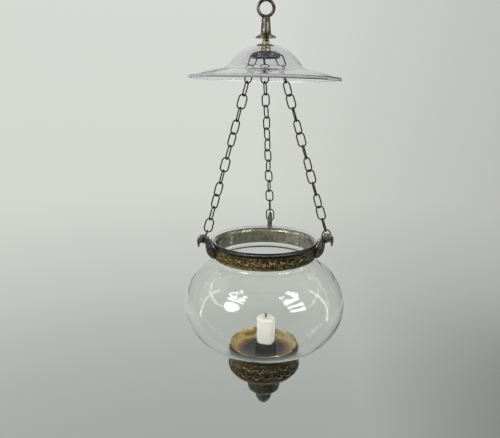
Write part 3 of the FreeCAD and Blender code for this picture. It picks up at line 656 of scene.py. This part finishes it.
# The painted dark reflection ends at the first of the range radii (mm), its painted brown edge at
# the last
dishBrassPaintedReflection = {
    "sides": (-0.035, 0.04),
    "golden": (0.76, 0.56, 0.18),
    "reddish": (0.62, 0.49, 0.28),
    "brown": (0.17, 0.10, 0.04),
    "paintedReflectionEdge": (0.17, 0.085, 0.035),
    "paintedDarkReflection": (0.03, 0.03, 0.036),
    "paintedReflectionShift": 8.0,
    "paintedReflectionRange": (25.0, 28.0, 40.0),
    "wander": 2.5,
    "wanderRange": (0.3, 0.7),
    "patchRange": (0.44, 0.62),
    "patches": 0.75,
    "blotchScale": 110.0,
    "grainScale": 500.0,
    "roughness": (0.16, 0.28),
    "metallic": 1.0,
    "bump": 0.25,
    "bumpDepth": 0.1,
}
clearGlass = {
    "tint": (0.997, 1.0, 0.995),
    "roughness": 0.0,
    "bending": 1.47,
    "clear": 1.0,
    "depthTint": (0.20, 0.26, 0.20),
    "density": 11.0,
    "waveScale": 40.0,
    "stretch": 3.0,
    "bump": 0.34,
    "bumpDepth": 1.0,
}
violetGlass = dict(
    clearGlass,
    tint=(0.905, 0.905, 0.918),
    density=0.0,
    waveScale=22.0,
    stretch=1.0,
    bump=0.8,
)
# A paler, less clear glass for the brim's rolled edge: a painted highlight
brimPaintedHighlight = dict(violetGlass, tint=(0.84, 0.84, 0.86), roughness=0.3, clear=0.45)
candleWax = {
    "light": (0.70, 0.70, 0.63),
    "shade": (0.66, 0.65, 0.57),
    "grainScale": 60.0,
    "roughness": 0.42,
    "soft": 0.25,
    "bump": 0.15,
    "bumpDepth": 0.3,
}
charredWick = {
    "light": (0.008, 0.007, 0.006),
    "shade": (0.003, 0.003, 0.003),
    "grainScale": 1500.0,
    "roughness": 0.95,
    "soft": 0.0,
    "bump": 0.6,
    "bumpDepth": 0.2,
}
brownLeather = {
    "light": (0.16, 0.09, 0.045),
    "shade": (0.09, 0.05, 0.028),
    "grainScale": 700.0,
    "roughness": 0.75,
    "soft": 0.0,
    "bump": 0.5,
    "bumpDepth": 0.15,
}
paleLeather = dict(
    brownLeather,
    light=(0.50, 0.47, 0.33),
    shade=(0.36, 0.33, 0.21),
)

agedBrassMetal = brassMaterial("agedBrass", agedBrass)
goldenBrassMetal = brassMaterial("goldenBrass", goldenBrass)
darkBronzeMetal = brassMaterial("darkBronze", darkBronze)
carrierBlueReflectionMetal = brassMaterial("carrierBronzePaintedBlue", carrierBlueReflection)
chainWireMetal = brassMaterial("chainWire", chainWire)
hookMetal = brassMaterial("hookBronze", hookBronze)
finialMetal = brassMaterial("finialBronze", finialBronze)
tipMetal = brassMaterial("tipBronze", tipBronze)
ringMetal = brassMaterial("ringBronze", ringBronze)
ferruleMetal = brassMaterial("ferruleBrass", ferruleBrass)
collarMetal = embossedMaterial("collarBrass", embossedBrass)
cupMetal = embossedMaterial("cupBrass", cupBrass)
dishMetal = dishMaterial("dishBrassPaintedReflection", dishBrassPaintedReflection)
glass = glassMaterial("blownGlass", clearGlass)
bellGlass = glassMaterial("violetGlass", violetGlass)
brimHighlightGlass = glassMaterial("brimPaintedHighlight", brimPaintedHighlight)
wax = plainMaterial("candleWax", candleWax)
wickBlack = plainMaterial("charredWick", charredWick)
darkWasher = plainMaterial("brownLeather", brownLeather)
paleWasher = plainMaterial("paleLeather", paleLeather)
print("materials made")

# The nodes that stay as they were packed get their materials
nodeMaterials = [
    (ringMetal, ["hanger_ring"]),
    (darkBronzeMetal, ["stem_pin"]),
    (agedBrassMetal, ["saucer_flange"]),
    (ferruleMetal, ["neck_ferrule"]),
    (goldenBrassMetal, ["suspension_rod", "clamp_nut", "carrier_nut", "tie_bolt", "jar_nut"]),
    (paleWasher, ["upper_washer", "lower_washer"]),
    (darkWasher, ["jar_washer", "dish_pad"]),
    (carrierBlueReflectionMetal, ["chain_carrier"]),
    (chainWireMetal, ["chain_back", "chain_left", "chain_right"]),
    (chainWireMetal, ["end_ring_back", "end_ring_left", "end_ring_right"]),
]
for material, names in nodeMaterials:
    for name in names:
        for slot in nodes[name].material_slots:
            slot.material = material
    print(material.name, "on", *names)


# Smoke bell: a dome, a flare and a wide brim of one wall, hung a little askew
smokeBell = {
    "top": -37.613,
    "bore": 2.35,
    "seat": 5.0,
    "domeRadius": 48.6,
    "domeAngle": 55.2,
    "flareRadius": 20.0,
    "brimAngle": 7.5,
    "brimArc": 150.0,
    "brimRadius": 86.8,
    "wall": 2.4,
    "roll": 1.9,
    "lean": 1.3,
}


def makeSmokeBell(values):
    wall, dome, flare = values["wall"], values["domeRadius"], values["flareRadius"]
    seat, bore, brimArc = values["seat"], values["bore"], values["brimArc"]
    domeSine, domeCosine = sineCosine(values["domeAngle"])
    brimSine, brimCosine = sineCosine(values["brimAngle"])
    crown = math.sqrt(dome * dome - seat * seat)
    ceiling = math.sqrt((dome - wall) ** 2 - seat * seat) - crown
    domeEnd = (dome * domeSine, dome * domeCosine - crown)
    flareEnd = (
        domeEnd[0] + flare * (domeSine - brimSine),
        domeEnd[1] - flare * (brimCosine - domeCosine),
    )
    rimSine = brimSine + (values["brimRadius"] - flareEnd[0]) / brimArc
    rimCosine = math.sqrt(1 - rimSine * rimSine)
    rim = (values["brimRadius"], flareEnd[1] - brimArc * (brimCosine - rimCosine))
    # The rolled edge is a little thicker than the wall
    roll = values["roll"]
    rollStart = 180 - math.degrees(math.asin(wall / 2 / roll))
    edgeRoll = []
    for turn in (-rollStart, -rollStart / 2, 0, rollStart / 2, rollStart):
        sine, cosine = sineCosine(turn)
        along = roll * (cosine - 1) + wall / 2
        over = roll * sine - wall / 2
        edgeRoll.append((
            rim[0] + along * rimCosine + over * rimSine,
            rim[1] - along * rimSine + over * rimCosine,
            roll,
            1,
        ))
    bell = turnedPiece("smokeBell", [
        (bore, ceiling),
        (seat, ceiling, dome - wall, -1),
        (domeEnd[0] - wall * domeSine, domeEnd[1] - wall * domeCosine, flare + wall, 1),
        (flareEnd[0] - wall * brimSine, flareEnd[1] - wall * brimCosine, brimArc - wall, -1),
        *edgeRoll[:-1],
        (*edgeRoll[-1][:2], brimArc, 1),
        (*flareEnd, flare, -1),
        (*domeEnd, dome, 1),
        (seat, 0),
        (bore, 0),
    ])
    applyPlace(bell, (0, 0, values["top"]), (0, values["lean"], 0))
    dress(bell, bellGlass, ["smoke_bell"], 30)
    # The rolled brim gets the paler glass, a painted highlight on its edge
    bell.data.materials.append(brimHighlightGlass)
    for face in bell.data.polygons:
        if math.hypot(face.center.x, face.center.y) > values["brimRadius"] * mm:
            face.material_index = 1
    bell.visible_shadow = False


makeSmokeBell(smokeBell)


# Blown bowl: its outline is three arcs and a neck, with heights from its middle
glassBowl = {
    "centre": -348.415,
    "hole": 3.4,
    "endCentre": 54.70,
    "endArc": 126.2,
    "sideCentre": 43.98,
    "sideArc": 56.0,
    "shoulder": (64.3, 58.515),
    "fillet": 4.0,
    "neck": 60.3,
    "flareUp": 73.98,
    "lipFlare": 6.0,
    "lipAngle": 78.0,
    "wall": 2.4,
}


def makeGlassBowl(values):
    wall, endArc, sideArc = values["wall"], values["endArc"], values["sideArc"]
    endCentre, sideCentre, hole = values["endCentre"], values["sideCentre"], values["hole"]
    apart = endArc - sideArc
    outward, upward = sideCentre / apart, endCentre / apart
    joint = (sideCentre + sideArc * outward, sideArc * upward)
    inner = (sideCentre + (sideArc - wall) * outward, (sideArc - wall) * upward)
    shoulderOut, shoulderUp = values["shoulder"]
    fillet = values["fillet"]
    share, innerShare = endArc / (endArc + fillet), (endArc - wall) / (endArc + fillet)
    neck, flareUp, flare = values["neck"], values["flareUp"], values["lipFlare"]
    lipSine, lipCosine = sineCosine(values["lipAngle"])
    lip = []
    for away, over in ((0, 0), (wall / 2, wall / 2), (wall, 0)):
        lip.append((
            neck + flare - (flare + away) * lipCosine + over * lipSine,
            flareUp + (flare + away) * lipSine + over * lipCosine,
            wall / 2,
            1,
        ))
    bowl = turnedPiece("glassBowl", [
        (hole, endCentre - math.sqrt((endArc - wall) ** 2 - hole * hole)),
        (hole, endCentre - math.sqrt(endArc ** 2 - hole * hole), endArc, 1),
        (joint[0], -joint[1], sideArc, 1),
        (*joint, endArc, 1),
        (shoulderOut * share, (shoulderUp + endCentre) * share - endCentre, fillet, -1),
        (neck, shoulderUp),
        (neck, flareUp, flare, -1),
        *lip[:2],
        (*lip[2][:2], flare + wall, 1),
        (neck - wall, flareUp),
        (neck - wall, shoulderUp, fillet + wall, 1),
        (
            shoulderOut * innerShare,
            (shoulderUp + endCentre) * innerShare - endCentre,
            endArc - wall,
            -1,
        ),
        (*inner, sideArc - wall, -1),
        (inner[0], -inner[1], endArc - wall, -1),
    ])
    applyPlace(bowl, (0, 0, values["centre"]))
    dress(bowl, glass, ["glass_bowl"], 30)
    bowl.visible_shadow = False


makeGlassBowl(glassBowl)


# Collar: a rolled bead over a band of scrollwork, with heights from its foot
collar = {
    "foot": -288.2,
    "inner": 60.6,
    "band": 62.4,
    "edge": 61.4,
    "border": 62.75,
    "bandHeight": 14.6,
    "beadTop": (63.79, 18.9),
    "beadArc": 3.0,
    "gapArc": 5.7,
    "flare": 13.78,
    "middle": 8.2,
    "repeats": 30,
    "size": 0.80,
    "dots": 170,
    "dotRadius": 0.5,
    "dotHeights": (3.0, 13.5),
    "relief": 0.45,
}


def makeCollar(values):
    inner, band, border = values["inner"], values["band"], values["border"]
    top = values["bandHeight"]
    ring = turnedPiece("collarBand", [
        (inner, 0),
        (values["edge"], 0, 1.4, 1),
        (border, 1.6),
        (border, 2.1, 0.5, 1),
        (band, 2.5),
        (band, top - 0.9),
        (border - 0.1, top - 0.5, 0.5, 1),
        (border, top),
        (band, top, values["beadArc"], 1),
        (*values["beadTop"], values["gapArc"], 1),
        (inner, values["flare"]),
    ])
    unit = 2 * math.pi * band / values["repeats"]
    scroll = scrollUnit(unit, values["middle"], 0.08 - band, values["relief"], values["size"])
    ornament = repeatRound(joinPieces(scroll), values["repeats"])
    dots = repeatRound(joinPieces([
        reliefDot(0, height, values["dotRadius"], 0.1 - border, 0.8)
        for height in values["dotHeights"]
    ]), values["dots"])
    whole = joinPieces([ring, ornament, dots])
    applyPlace(whole, (0, 0, values["foot"]))
    dress(whole, collarMetal, ["collar_band"], 40)


makeCollar(collar)


# Hooks: one bird, copied and turned to the three chains
hook = {
    "band": 62.4,
    "foot": -287.8,
    "reach": 22.1,
    "rise": 32.4,
    "backRise": 37.5,
    "thickness": 6.4,
    "fullness": 1.2,
    "azimuths": {"hookLeft": 199.1, "hookRight": 346.8, "hookBack": 84.4},
}
# Back edge (out, up), front edge (out, up) and thickness, as shares of the hook's sizes
hookSections = [
    (0.00, 0.38, -0.03, 0.00, 1.00),
    (0.10, 0.42, 0.26, 0.10, 0.96),
    (0.17, 0.50, 0.47, 0.29, 0.88),
    (0.21, 0.62, 0.52, 0.51, 0.76),
    (0.26, 0.74, 0.535, 0.655, 0.70),
    (0.37, 0.87, 0.58, 0.70, 0.74),
    (0.59, 1.00, 0.67, 0.72, 0.80),
    (0.81, 0.99, 0.78, 0.72, 0.76),
    (0.95, 0.92, 0.84, 0.70, 0.62),
    (1.00, 0.80, 0.86, 0.685, 0.46),
    (0.985, 0.69, 0.87, 0.645, 0.44),
    (0.95, 0.53, 0.885, 0.52, 0.28),
]
# Brow and beak lines: place, heading, length, width, relief, how far out, bend
hookLines = [
    (0.68, 0.90, 35, 5.2, 0.9, 0.5, 1.0, -80),
    (0.80, 0.80, 12, 4.6, 0.7, 0.4, 0.9, -95),
]


def makeHooks(values):
    reach, rise, thickness = values["reach"], values["rise"], values["thickness"]
    sections, lastAngle = [], 0
    for backOut, backUp, frontOut, frontUp, share in hookSections:
        back = Vector((backOut * reach, backUp * rise))
        front = Vector((frontOut * reach, frontUp * rise))
        half = (front - back) / 2
        centre = (back + front) / 2
        angle = math.degrees(math.atan2(half.y, half.x))
        angle += 360 * round((lastAngle - angle) / 360)  # The turn nearest to the last
        lastAngle = angle
        width = half.length * values["fullness"]
        sections.append((centre.x, centre.y, angle, width, share * thickness / 2))
    bird = sweptPiece("bird", sections, 14)
    smoothing = bird.modifiers.new("round", "SUBSURF")
    smoothing.levels = smoothing.render_levels = 2
    pick(bird)
    bpy.ops.object.modifier_apply(modifier="round")
    details = [bird]
    side = thickness * 0.34
    for face in (side, -side):
        details.append(reliefDot(0.80 * reach, 0.895 * rise, 0.95, face, 0.7))  # Eye
        for out, up, heading, length, width, relief, depth, bend in hookLines:
            details.append(reliefStroke(
                (out * reach, up * rise), heading, length, width, relief, face * depth, bend,
            ))
        # Rows of short feathers over the breast and neck
        for row in range(7):
            for column in range(3):
                out = 0.13 + 0.05 * row + 0.11 * column
                up = 0.22 + 0.105 * row + 0.05 * column
                if out < 0.64 and up < 0.98:
                    details.append(reliefStroke(
                        (out * reach, up * rise), 250, 4.2, 2.1, 0.45, face * 1.18, 25, 4,
                    ))
    # The crest, from the head down the back
    for k in range(6):
        out, up = 0.62 - 0.105 * k, 1.0 - 0.10 * k
        details.append(reliefStroke(
            (out * reach, up * rise), 195 + 8 * k, 5.0, 1.5, 0.9, 0, -50, 5,
        ))
    bird = joinPieces(details)
    for name, azimuth in values["azimuths"].items():
        piece = copyPiece(bird, name)
        stretch = values["backRise"] / rise if name == "hookBack" else 1.0
        applyPlace(piece, scale=(1, 1, stretch))
        applyPlace(piece, (values["band"], 0, values["foot"]))
        applyPlace(piece, rotation=(0, 0, azimuth))
        node = "hook_" + name[4:].lower()
        dress(piece, hookMetal, [node], 50)
    bpy.data.objects.remove(bird)


makeHooks(hook)


# Dish, socket and candle, with heights from the foot of each
dish = {
    "foot": -412.73,
    "bore": 2.75,
    "floor": 33.0,
    "rim": 43.8,
    "depth": 7.0,
    "arc": 20.0,
    "metal": 0.9,
}
socket = {
    "offset": 2.4,
    "foot": -411.83,
    "outer": 13.2,
    "inner": 12.3,
    "bore": 5.15,
    "height": 8.6,
    "metal": 0.9,
}
candle = {
    "foot": -409.33,
    "radius": 11.6,
    "height": 37.6,
    "dome": 1.6,
    "edge": 1.9,
    "wickFoot": -373.14,
    "wickTop": -365.6,
    "wickRadius": 1.05,
}


def makeDish(values):
    floor, rim, metal = values["floor"], values["rim"], values["metal"]
    depth, arc = values["depth"], values["arc"]
    piece = turnedPiece("dripDish", [
        (values["bore"], 0),
        (floor, 0, arc, 1),
        (rim, depth - metal / 2, metal / 2, 1),
        (rim - metal, depth - metal / 2, arc - metal, -1),
        (floor, metal),
        (values["bore"], metal),
    ])
    applyPlace(piece, (0, 0, values["foot"]))
    dress(piece, dishMetal, ["drip_dish"])


def makeSocket(values):
    outer, inner, height = values["outer"], values["inner"], values["height"]
    metal = values["metal"]
    piece = turnedPiece("candleSocket", [
        (values["bore"], 0),
        (outer - 0.7, 0, 0.7, 1),
        (outer, 0.7),
        (outer, height - metal / 2, metal / 2, 1),
        (inner, height - metal / 2),
        (inner, metal),
        (values["bore"], metal),
    ], steps=96)
    applyPlace(piece, (values["offset"], 0, values["foot"]))
    dress(piece, darkBronzeMetal, ["candle_socket"])


def makeCandle(values):
    radius, height, dome = values["radius"], values["height"], values["dome"]
    edge, wick = values["edge"], values["wickRadius"]
    stick = turnedPiece("candleStick", [
        (0, 0),
        (radius - 0.8, 0, 0.8, 1),
        (radius, 0.8),
        (radius, height - edge * 0.6, edge, 1),
        (radius - edge, height + edge * 0.35),
        (radius * 0.45, height + dome, 9.0, -1),
        (radius * 0.12, height + dome - 0.7),
        (wick, height + dome - 0.9),
        (wick, height + dome - 3.0),
        (0, height + dome - 3.0),
    ], closed=False, steps=96)
    applyPlace(stick, (socket["offset"], 0, values["foot"]))
    dress(stick, wax, ["candle"], 40)
    length = values["wickTop"] - values["wickFoot"]
    line = [
        (0.0, 0.0, 0, wick * 0.92, wick * 0.92),
        (0.0, length * 0.45, 0, wick * 0.92, wick * 0.92),
        (-0.1, length * 0.66, 8, wick, wick),
        (-0.35, length * 0.84, 18, wick * 1.05, wick * 1.05),
        (-0.75, length * 0.97, 26, wick * 0.8, wick * 0.8),
    ]
    piece = sweptPiece("candleWick", line, 12)
    applyPlace(piece, (socket["offset"], 0, values["wickFoot"]))
    dress(piece, wickBlack, ["candle_wick"], 50)


makeDish(dish)
makeSocket(socket)
makeCandle(candle)


# Cup, bulb and end knob, with heights from the foot or top of each
cup = {
    "foot": -451.91,
    "bore": 2.75,
    "footRadius": 24.5,
    "footWidth": 3.0,
    "footRing": 1.8,
    "belly": (44.8, 15.0),
    "bellyArc": 30.0,
    "rim": 46.0,
    "height": 40.0,
    "wall": 1.4,
    "repeats": 20,
    "relief": 0.55,
    "scrollHeights": (19.6, 29.4),
    "scrollSize": 0.88,
    "dots": 120,
    "dotHeight": 35.4,
    "dotRadius": 0.55,
}
bulb = {
    "foot": -475.12,
    "bore": 2.75,
    "footRadius": 12.2,
    "ring": 1.3,
    "radius": 20.4,
    "lower": 8.0,
    "lowerArc": 12.0,
    "upperArc": 32.0,
    "topRadius": 16.5,
    "height": 25.0,
    "leaves": 12,
}
knob = {
    "top": -475.12,
    "radius": 10.6,
    "collar": 2.6,
    "length": 18.3,
    "arc": 17.0,
    "bore": 2.75,
    "depth": 8.3,
}


# Start along the outline, length, width, relief and turn (in repeats) of each leaf
cupLeaves = [
    (3.0, 17.5, 2.6, 0.55, 0.0),
    (4.0, 14.0, 1.3, 0.55, 0.14),
    (4.0, 14.0, 1.3, 0.55, -0.14),
    (6.0, 16.5, 2.0, 0.55, 0.5),
    (8.0, 10.5, 1.2, 0.55, 0.34),
    (8.0, 10.5, 1.2, 0.55, 0.66),
]
bulbLeaves = [
    (2.0, 24.0, 6.0, 0.5, 0.0),
    (3.5, 21.0, 0.9, 0.75, 0.0),
    (5.0, 22.0, 3.2, 0.5, 0.5),
]


def leafPieces(outer, leaves, repeats):
    turn = 360 / repeats
    return [
        profileLeaf(outer, start, length, width, relief, turn * share)
        for start, length, width, relief, share in leaves
    ]


def makeCup(values):
    footRadius, ring, wall = values["footRadius"], values["footRing"], values["wall"]
    belly, arc, rim = values["belly"], values["bellyArc"], values["rim"]
    height = values["height"]
    recess = footRadius - values["footWidth"]
    bowl = turnedPiece("bottomCup", [
        (values["bore"], ring),
        (recess, ring),
        (recess, 0),
        (footRadius - 0.4, 0, 0.9, 1),
        (footRadius, ring, arc, 1),
        belly,
        (rim - 0.35, height - 3.2),
        (rim - 0.35, height - 2.6, 1.4, 1),
        (rim, height - wall / 2, wall / 2, 1),
        (rim - wall, height - wall / 2),
        (belly[0] - wall, belly[1], arc - wall, -1),
        (footRadius - wall / 2, ring + wall),
        (values["bore"], ring + wall),
    ])
    relief, repeats = values["relief"], values["repeats"]
    unit = 2 * math.pi * (rim - 0.8) / repeats
    lowerUp, upperUp = values["scrollHeights"]
    lower = scrollUnit(unit, lowerUp, 1.0 - rim, relief, values["scrollSize"])
    upper = scrollUnit(unit, upperUp, 0.55 - rim, relief, values["scrollSize"])
    upper = [turnOnAxis(joinPieces(upper), 180 / repeats)]
    outer = outlinePoints([(footRadius, ring, arc, 1), belly, (rim - 0.35, height)], False)
    leaves = leafPieces(outer, cupLeaves, repeats)
    ornament = repeatRound(joinPieces(lower + upper + leaves), repeats)
    dot = reliefDot(0, values["dotHeight"], values["dotRadius"], 0.35 - rim, 0.8)
    dots = repeatRound(dot, values["dots"])
    whole = joinPieces([bowl, ornament, dots])
    applyPlace(whole, (0, 0, values["foot"]))
    dress(whole, cupMetal, ["bottom_cup"], 40)


def makeBulb(values):
    lowRadius, ring = values["footRadius"], values["ring"]
    body = turnedPiece("finialBulb", [
        (values["bore"], 0),
        (lowRadius - ring / 2, 0, ring / 2, 1),
        (lowRadius, ring / 2, ring / 2, 1),
        (lowRadius - ring / 2, ring, values["lowerArc"], 1),
        (values["radius"], values["lower"], values["upperArc"], 1),
        (values["topRadius"], values["height"]),
        (values["bore"], values["height"]),
    ])
    outer = outlinePoints([
        (lowRadius - ring / 2, ring, values["lowerArc"], 1),
        (values["radius"], values["lower"], values["upperArc"], 1),
        (values["topRadius"], values["height"]),
    ], False)
    leaves = leafPieces(outer, bulbLeaves, values["leaves"])
    body = joinPieces([body, repeatRound(joinPieces(leaves), values["leaves"])])
    applyPlace(body, (0, 0, values["foot"]))
    dress(body, finialMetal, ["finial_bulb"])


def makeKnob(values):
    body = turnedPiece("endKnob", [
        (values["bore"], 0),
        (values["bore"], -values["depth"]),
        (0, -values["depth"]),
        (0, -values["length"], values["arc"], 1),
        (values["radius"], -values["collar"], 1.6, 1),
        (values["radius"] - 0.4, 0),
    ], steps=128)
    applyPlace(body, (0, 0, values["top"]))
    dress(body, tipMetal, ["finial_tip"])


makeCup(cup)
makeBulb(bulb)
makeKnob(knob)


# Floor and backdrop in metres; the pale tones run from the floor up, darker low down as painted
# shade
stage = {
    "floor": -1.6,
    "radius": 2.1,
    "curve": 0.9,
    "top": 2.6,
    "paleTop": 0.4,
    "paleAndPaintedShadeFromFloor": [
        (0.0, (0.460, 0.480, 0.452)),
        (0.2, (0.495, 0.515, 0.482)),
        (0.5, (0.655, 0.667, 0.630)),
        (1.0, (0.690, 0.705, 0.668)),
    ],
    # The right side is darkened as painted shade, more low down than high up
    "farRange": (0.0, 0.4),
    "paintedShadeFarSide": (0.52, 0.70),
    "fadeRange": (0.15, 0.4),
    "fadeStart": (0.47, -0.05),
    "fadeEnd": (1.13, 1.4),
    "floorShare": 0.35,
    "floorEdge": (1.0, 0.6),
    "roomShare": (0.4, 0.16),
    "roomWidth": (-1.5, 1.5),
    "backWall": (2.09, 1.75),
    "highWall": (0.5, 1.6),
    "brightFloor": (0.4, -0.4),
    "floorShine": 1.5,
}


def makeStage(values):
    metres = 1000  # The outline is in mm
    sweep = turnedPiece("backdrop", [
        (0, values["floor"] * metres),
        ((values["radius"] - values["curve"]) * metres, values["floor"] * metres,
         values["curve"] * metres, 1),
        (values["radius"] * metres, (values["floor"] + values["curve"]) * metres),
        (values["radius"] * metres, values["top"] * metres),
    ], closed=False, steps=96)
    pick(sweep)
    bpy.ops.object.shade_smooth()
    material, tree = newMaterial("paleBackdrop")
    place = addNode(tree, "TexCoord").outputs["Object"]
    axes = addNode(tree, "SeparateXYZ", {"Vector": place})
    height = addNode(tree, "MapRange", {
        "Value": axes.outputs["Z"],
        "From Min": values["floor"],
        "From Max": values["paleTop"],
    })
    share = height.outputs["Result"]
    ramp = addNode(tree, "ValToRGB", {"Fac": share})
    stops = values["paleAndPaintedShadeFromFloor"]
    while len(ramp.color_ramp.elements) < len(stops):
        ramp.color_ramp.elements.new(0.5)
    for element, (position, pale) in zip(ramp.color_ramp.elements, stops):
        element.position = position
        element.color = (*pale, 1.0)
    # Painted shade: the right side falls off, low down later and further than high up
    farShade = rangeShare(tree, share, *values["farRange"], *values["paintedShadeFarSide"])
    start = rangeShare(tree, share, *values["fadeRange"], *values["fadeStart"])
    end = rangeShare(tree, share, *values["fadeRange"], *values["fadeEnd"])
    paintedSideShade = rangeShare(tree, axes.outputs["X"], start, end, 1.0, farShade, False)
    tint = addNode(tree, "VectorMath", {0: ramp.outputs["Color"], 3: paintedSideShade}, operation="SCALE")
    glow = addNode(tree, "Emission", {"Color": tint.outputs[0], "Strength": 1.0})
    matt = addNode(tree, "BsdfDiffuse", {"Color": tint.outputs[0]})
    low = rangeShare(tree, axes.outputs["Z"], values["floor"] + values["floorEdge"][1],
                     values["floor"], 0.0, values["floorShare"])
    seen = addNode(tree, "MixShader", {0: low, 1: glow.outputs[0], 2: matt.outputs[0]})

    # Reflections see a darker room beside and in front, and a bright floor behind
    rays = addNode(tree, "LightPath")
    room = rangeShare(tree, axes.outputs["X"], *values["roomWidth"], *values["roomShare"])
    walls = rangeShare(tree, axes.outputs["Y"], *values["backWall"], 1.0, room)
    walls = mixValues(tree, rangeShare(tree, axes.outputs["Z"], *values["highWall"]), walls, 1.0)
    floor = rangeShare(tree, axes.outputs["Y"], *values["brightFloor"], values["floorShine"], room)
    edge = [values["floor"] + above for above in values["floorEdge"]]
    reflected = mixValues(tree, rangeShare(tree, axes.outputs["Z"], *edge), walls, floor)
    bent = mixValues(tree, rays.outputs["Is Transmission Ray"], reflected, 1.0)
    fade = mixValues(tree, rays.outputs["Is Glossy Ray"], 1.0, bent)
    tree.links.new(fade, glow.inputs["Strength"])
    direct = rays.outputs["Is Camera Ray"]
    for kind in ("Is Glossy Ray", "Is Transmission Ray"):
        direct = combine(tree, "MAXIMUM", direct, rays.outputs[kind])
    whole = addNode(tree, "MixShader", {0: direct, 1: matt.outputs[0], 2: seen.outputs[0]})
    output = addNode(tree, "OutputMaterial")
    tree.links.new(whole.outputs[0], output.inputs["Surface"])
    sweep.data.materials.append(material)
    sweep.visible_diffuse = False
    sweep.visible_shadow = False
    print("floor and backdrop made")


makeStage(stage)


# Lamps and camera in metres and degrees; a panel is its rise, height and shape
lamps = {
    "target": (0, 0, -0.348),
    "distance": 1.6,
    "softboxes": {
        "leftSoftbox": {
            "azimuth": -50,
            "elevation": 32,
            "width": 0.66,
            "panels": [
                (-0.07, 0.54, "ELLIPSE"),
                (0.31, 0.08, "RECTANGLE"),
                (0.46, 0.07, "RECTANGLE"),
            ],
            "radiance": 9.2,
        },
        "rightSoftbox": {
            "azimuth": 50,
            "elevation": 36,
            "width": 0.64,
            "panels": [
                (-0.33, 0.16, "RECTANGLE"),
                (-0.05, 0.17, "RECTANGLE"),
                (0.25, 0.17, "RECTANGLE"),
            ],
            "radiance": 9.2,
        },
        "leftStrip": {
            "azimuth": -94,
            "elevation": 16,
            "width": 0.09,
            "panels": [(0.0, 1.8, "RECTANGLE")],
            "radiance": 3.0,
        },
        "rightStrip": {
            "azimuth": 94,
            "elevation": 12,
            "width": 0.12,
            "panels": [(0.0, 1.9, "RECTANGLE")],
            "radiance": 3.0,
        },
    },
    "worldColour": (0.97, 0.98, 0.97),
    "worldStrength": 0.32,
}
camera = {
    "location": (0, -0.61551, -0.0956),
    "pitch": -13.364,
    "turn": 1.666,
    "lens": 37.23,
    "sensor": 36.0,
}


def makeLamps(values):
    target = Vector(values["target"])
    for name, box in values["softboxes"].items():
        sideSine, sideCosine = sineCosine(box["azimuth"])
        riseSine, riseCosine = sineCosine(box["elevation"])
        away = Vector((sideSine * riseCosine, -sideCosine * riseCosine, riseSine))
        facing = away.to_track_quat("Z", "Y")
        for number, (rise, height, shape) in enumerate(box["panels"], 1):
            place = target + away * values["distance"] + facing @ Vector((0, rise, 0))
            deselectAll()
            bpy.ops.object.light_add(type="AREA", location=place)
            lamp = bpy.context.object
            lamp.name = name + str(number)
            lamp.rotation_mode = "QUATERNION"
            lamp.rotation_quaternion = facing
            area = box["width"] * height * (math.pi / 4 if shape == "ELLIPSE" else 1)
            lamp.data.shape = shape
            lamp.data.size, lamp.data.size_y = box["width"], height
            lamp.data.energy = box["radiance"] * math.pi * area
    world = bpy.data.worlds.new("studio")
    bpy.context.scene.world = world
    world.use_nodes = True
    sky = world.node_tree.nodes["Background"]
    sky.inputs["Color"].default_value = (*values["worldColour"], 1.0)
    sky.inputs["Strength"].default_value = values["worldStrength"]
    print("lamps placed")


def makeCamera(values):
    deselectAll()
    bpy.ops.object.camera_add(
        location=values["location"],
        rotation=(math.radians(90 + values["pitch"]), 0, math.radians(values["turn"])),
    )
    view = bpy.context.object
    view.data.lens = values["lens"]
    view.data.sensor_width = values["sensor"]
    view.data.clip_start = 0.01
    bpy.context.scene.camera = view


makeLamps(lamps)
makeCamera(camera)
bpy.context.scene.view_settings.view_transform = "Standard"
print("camera set")
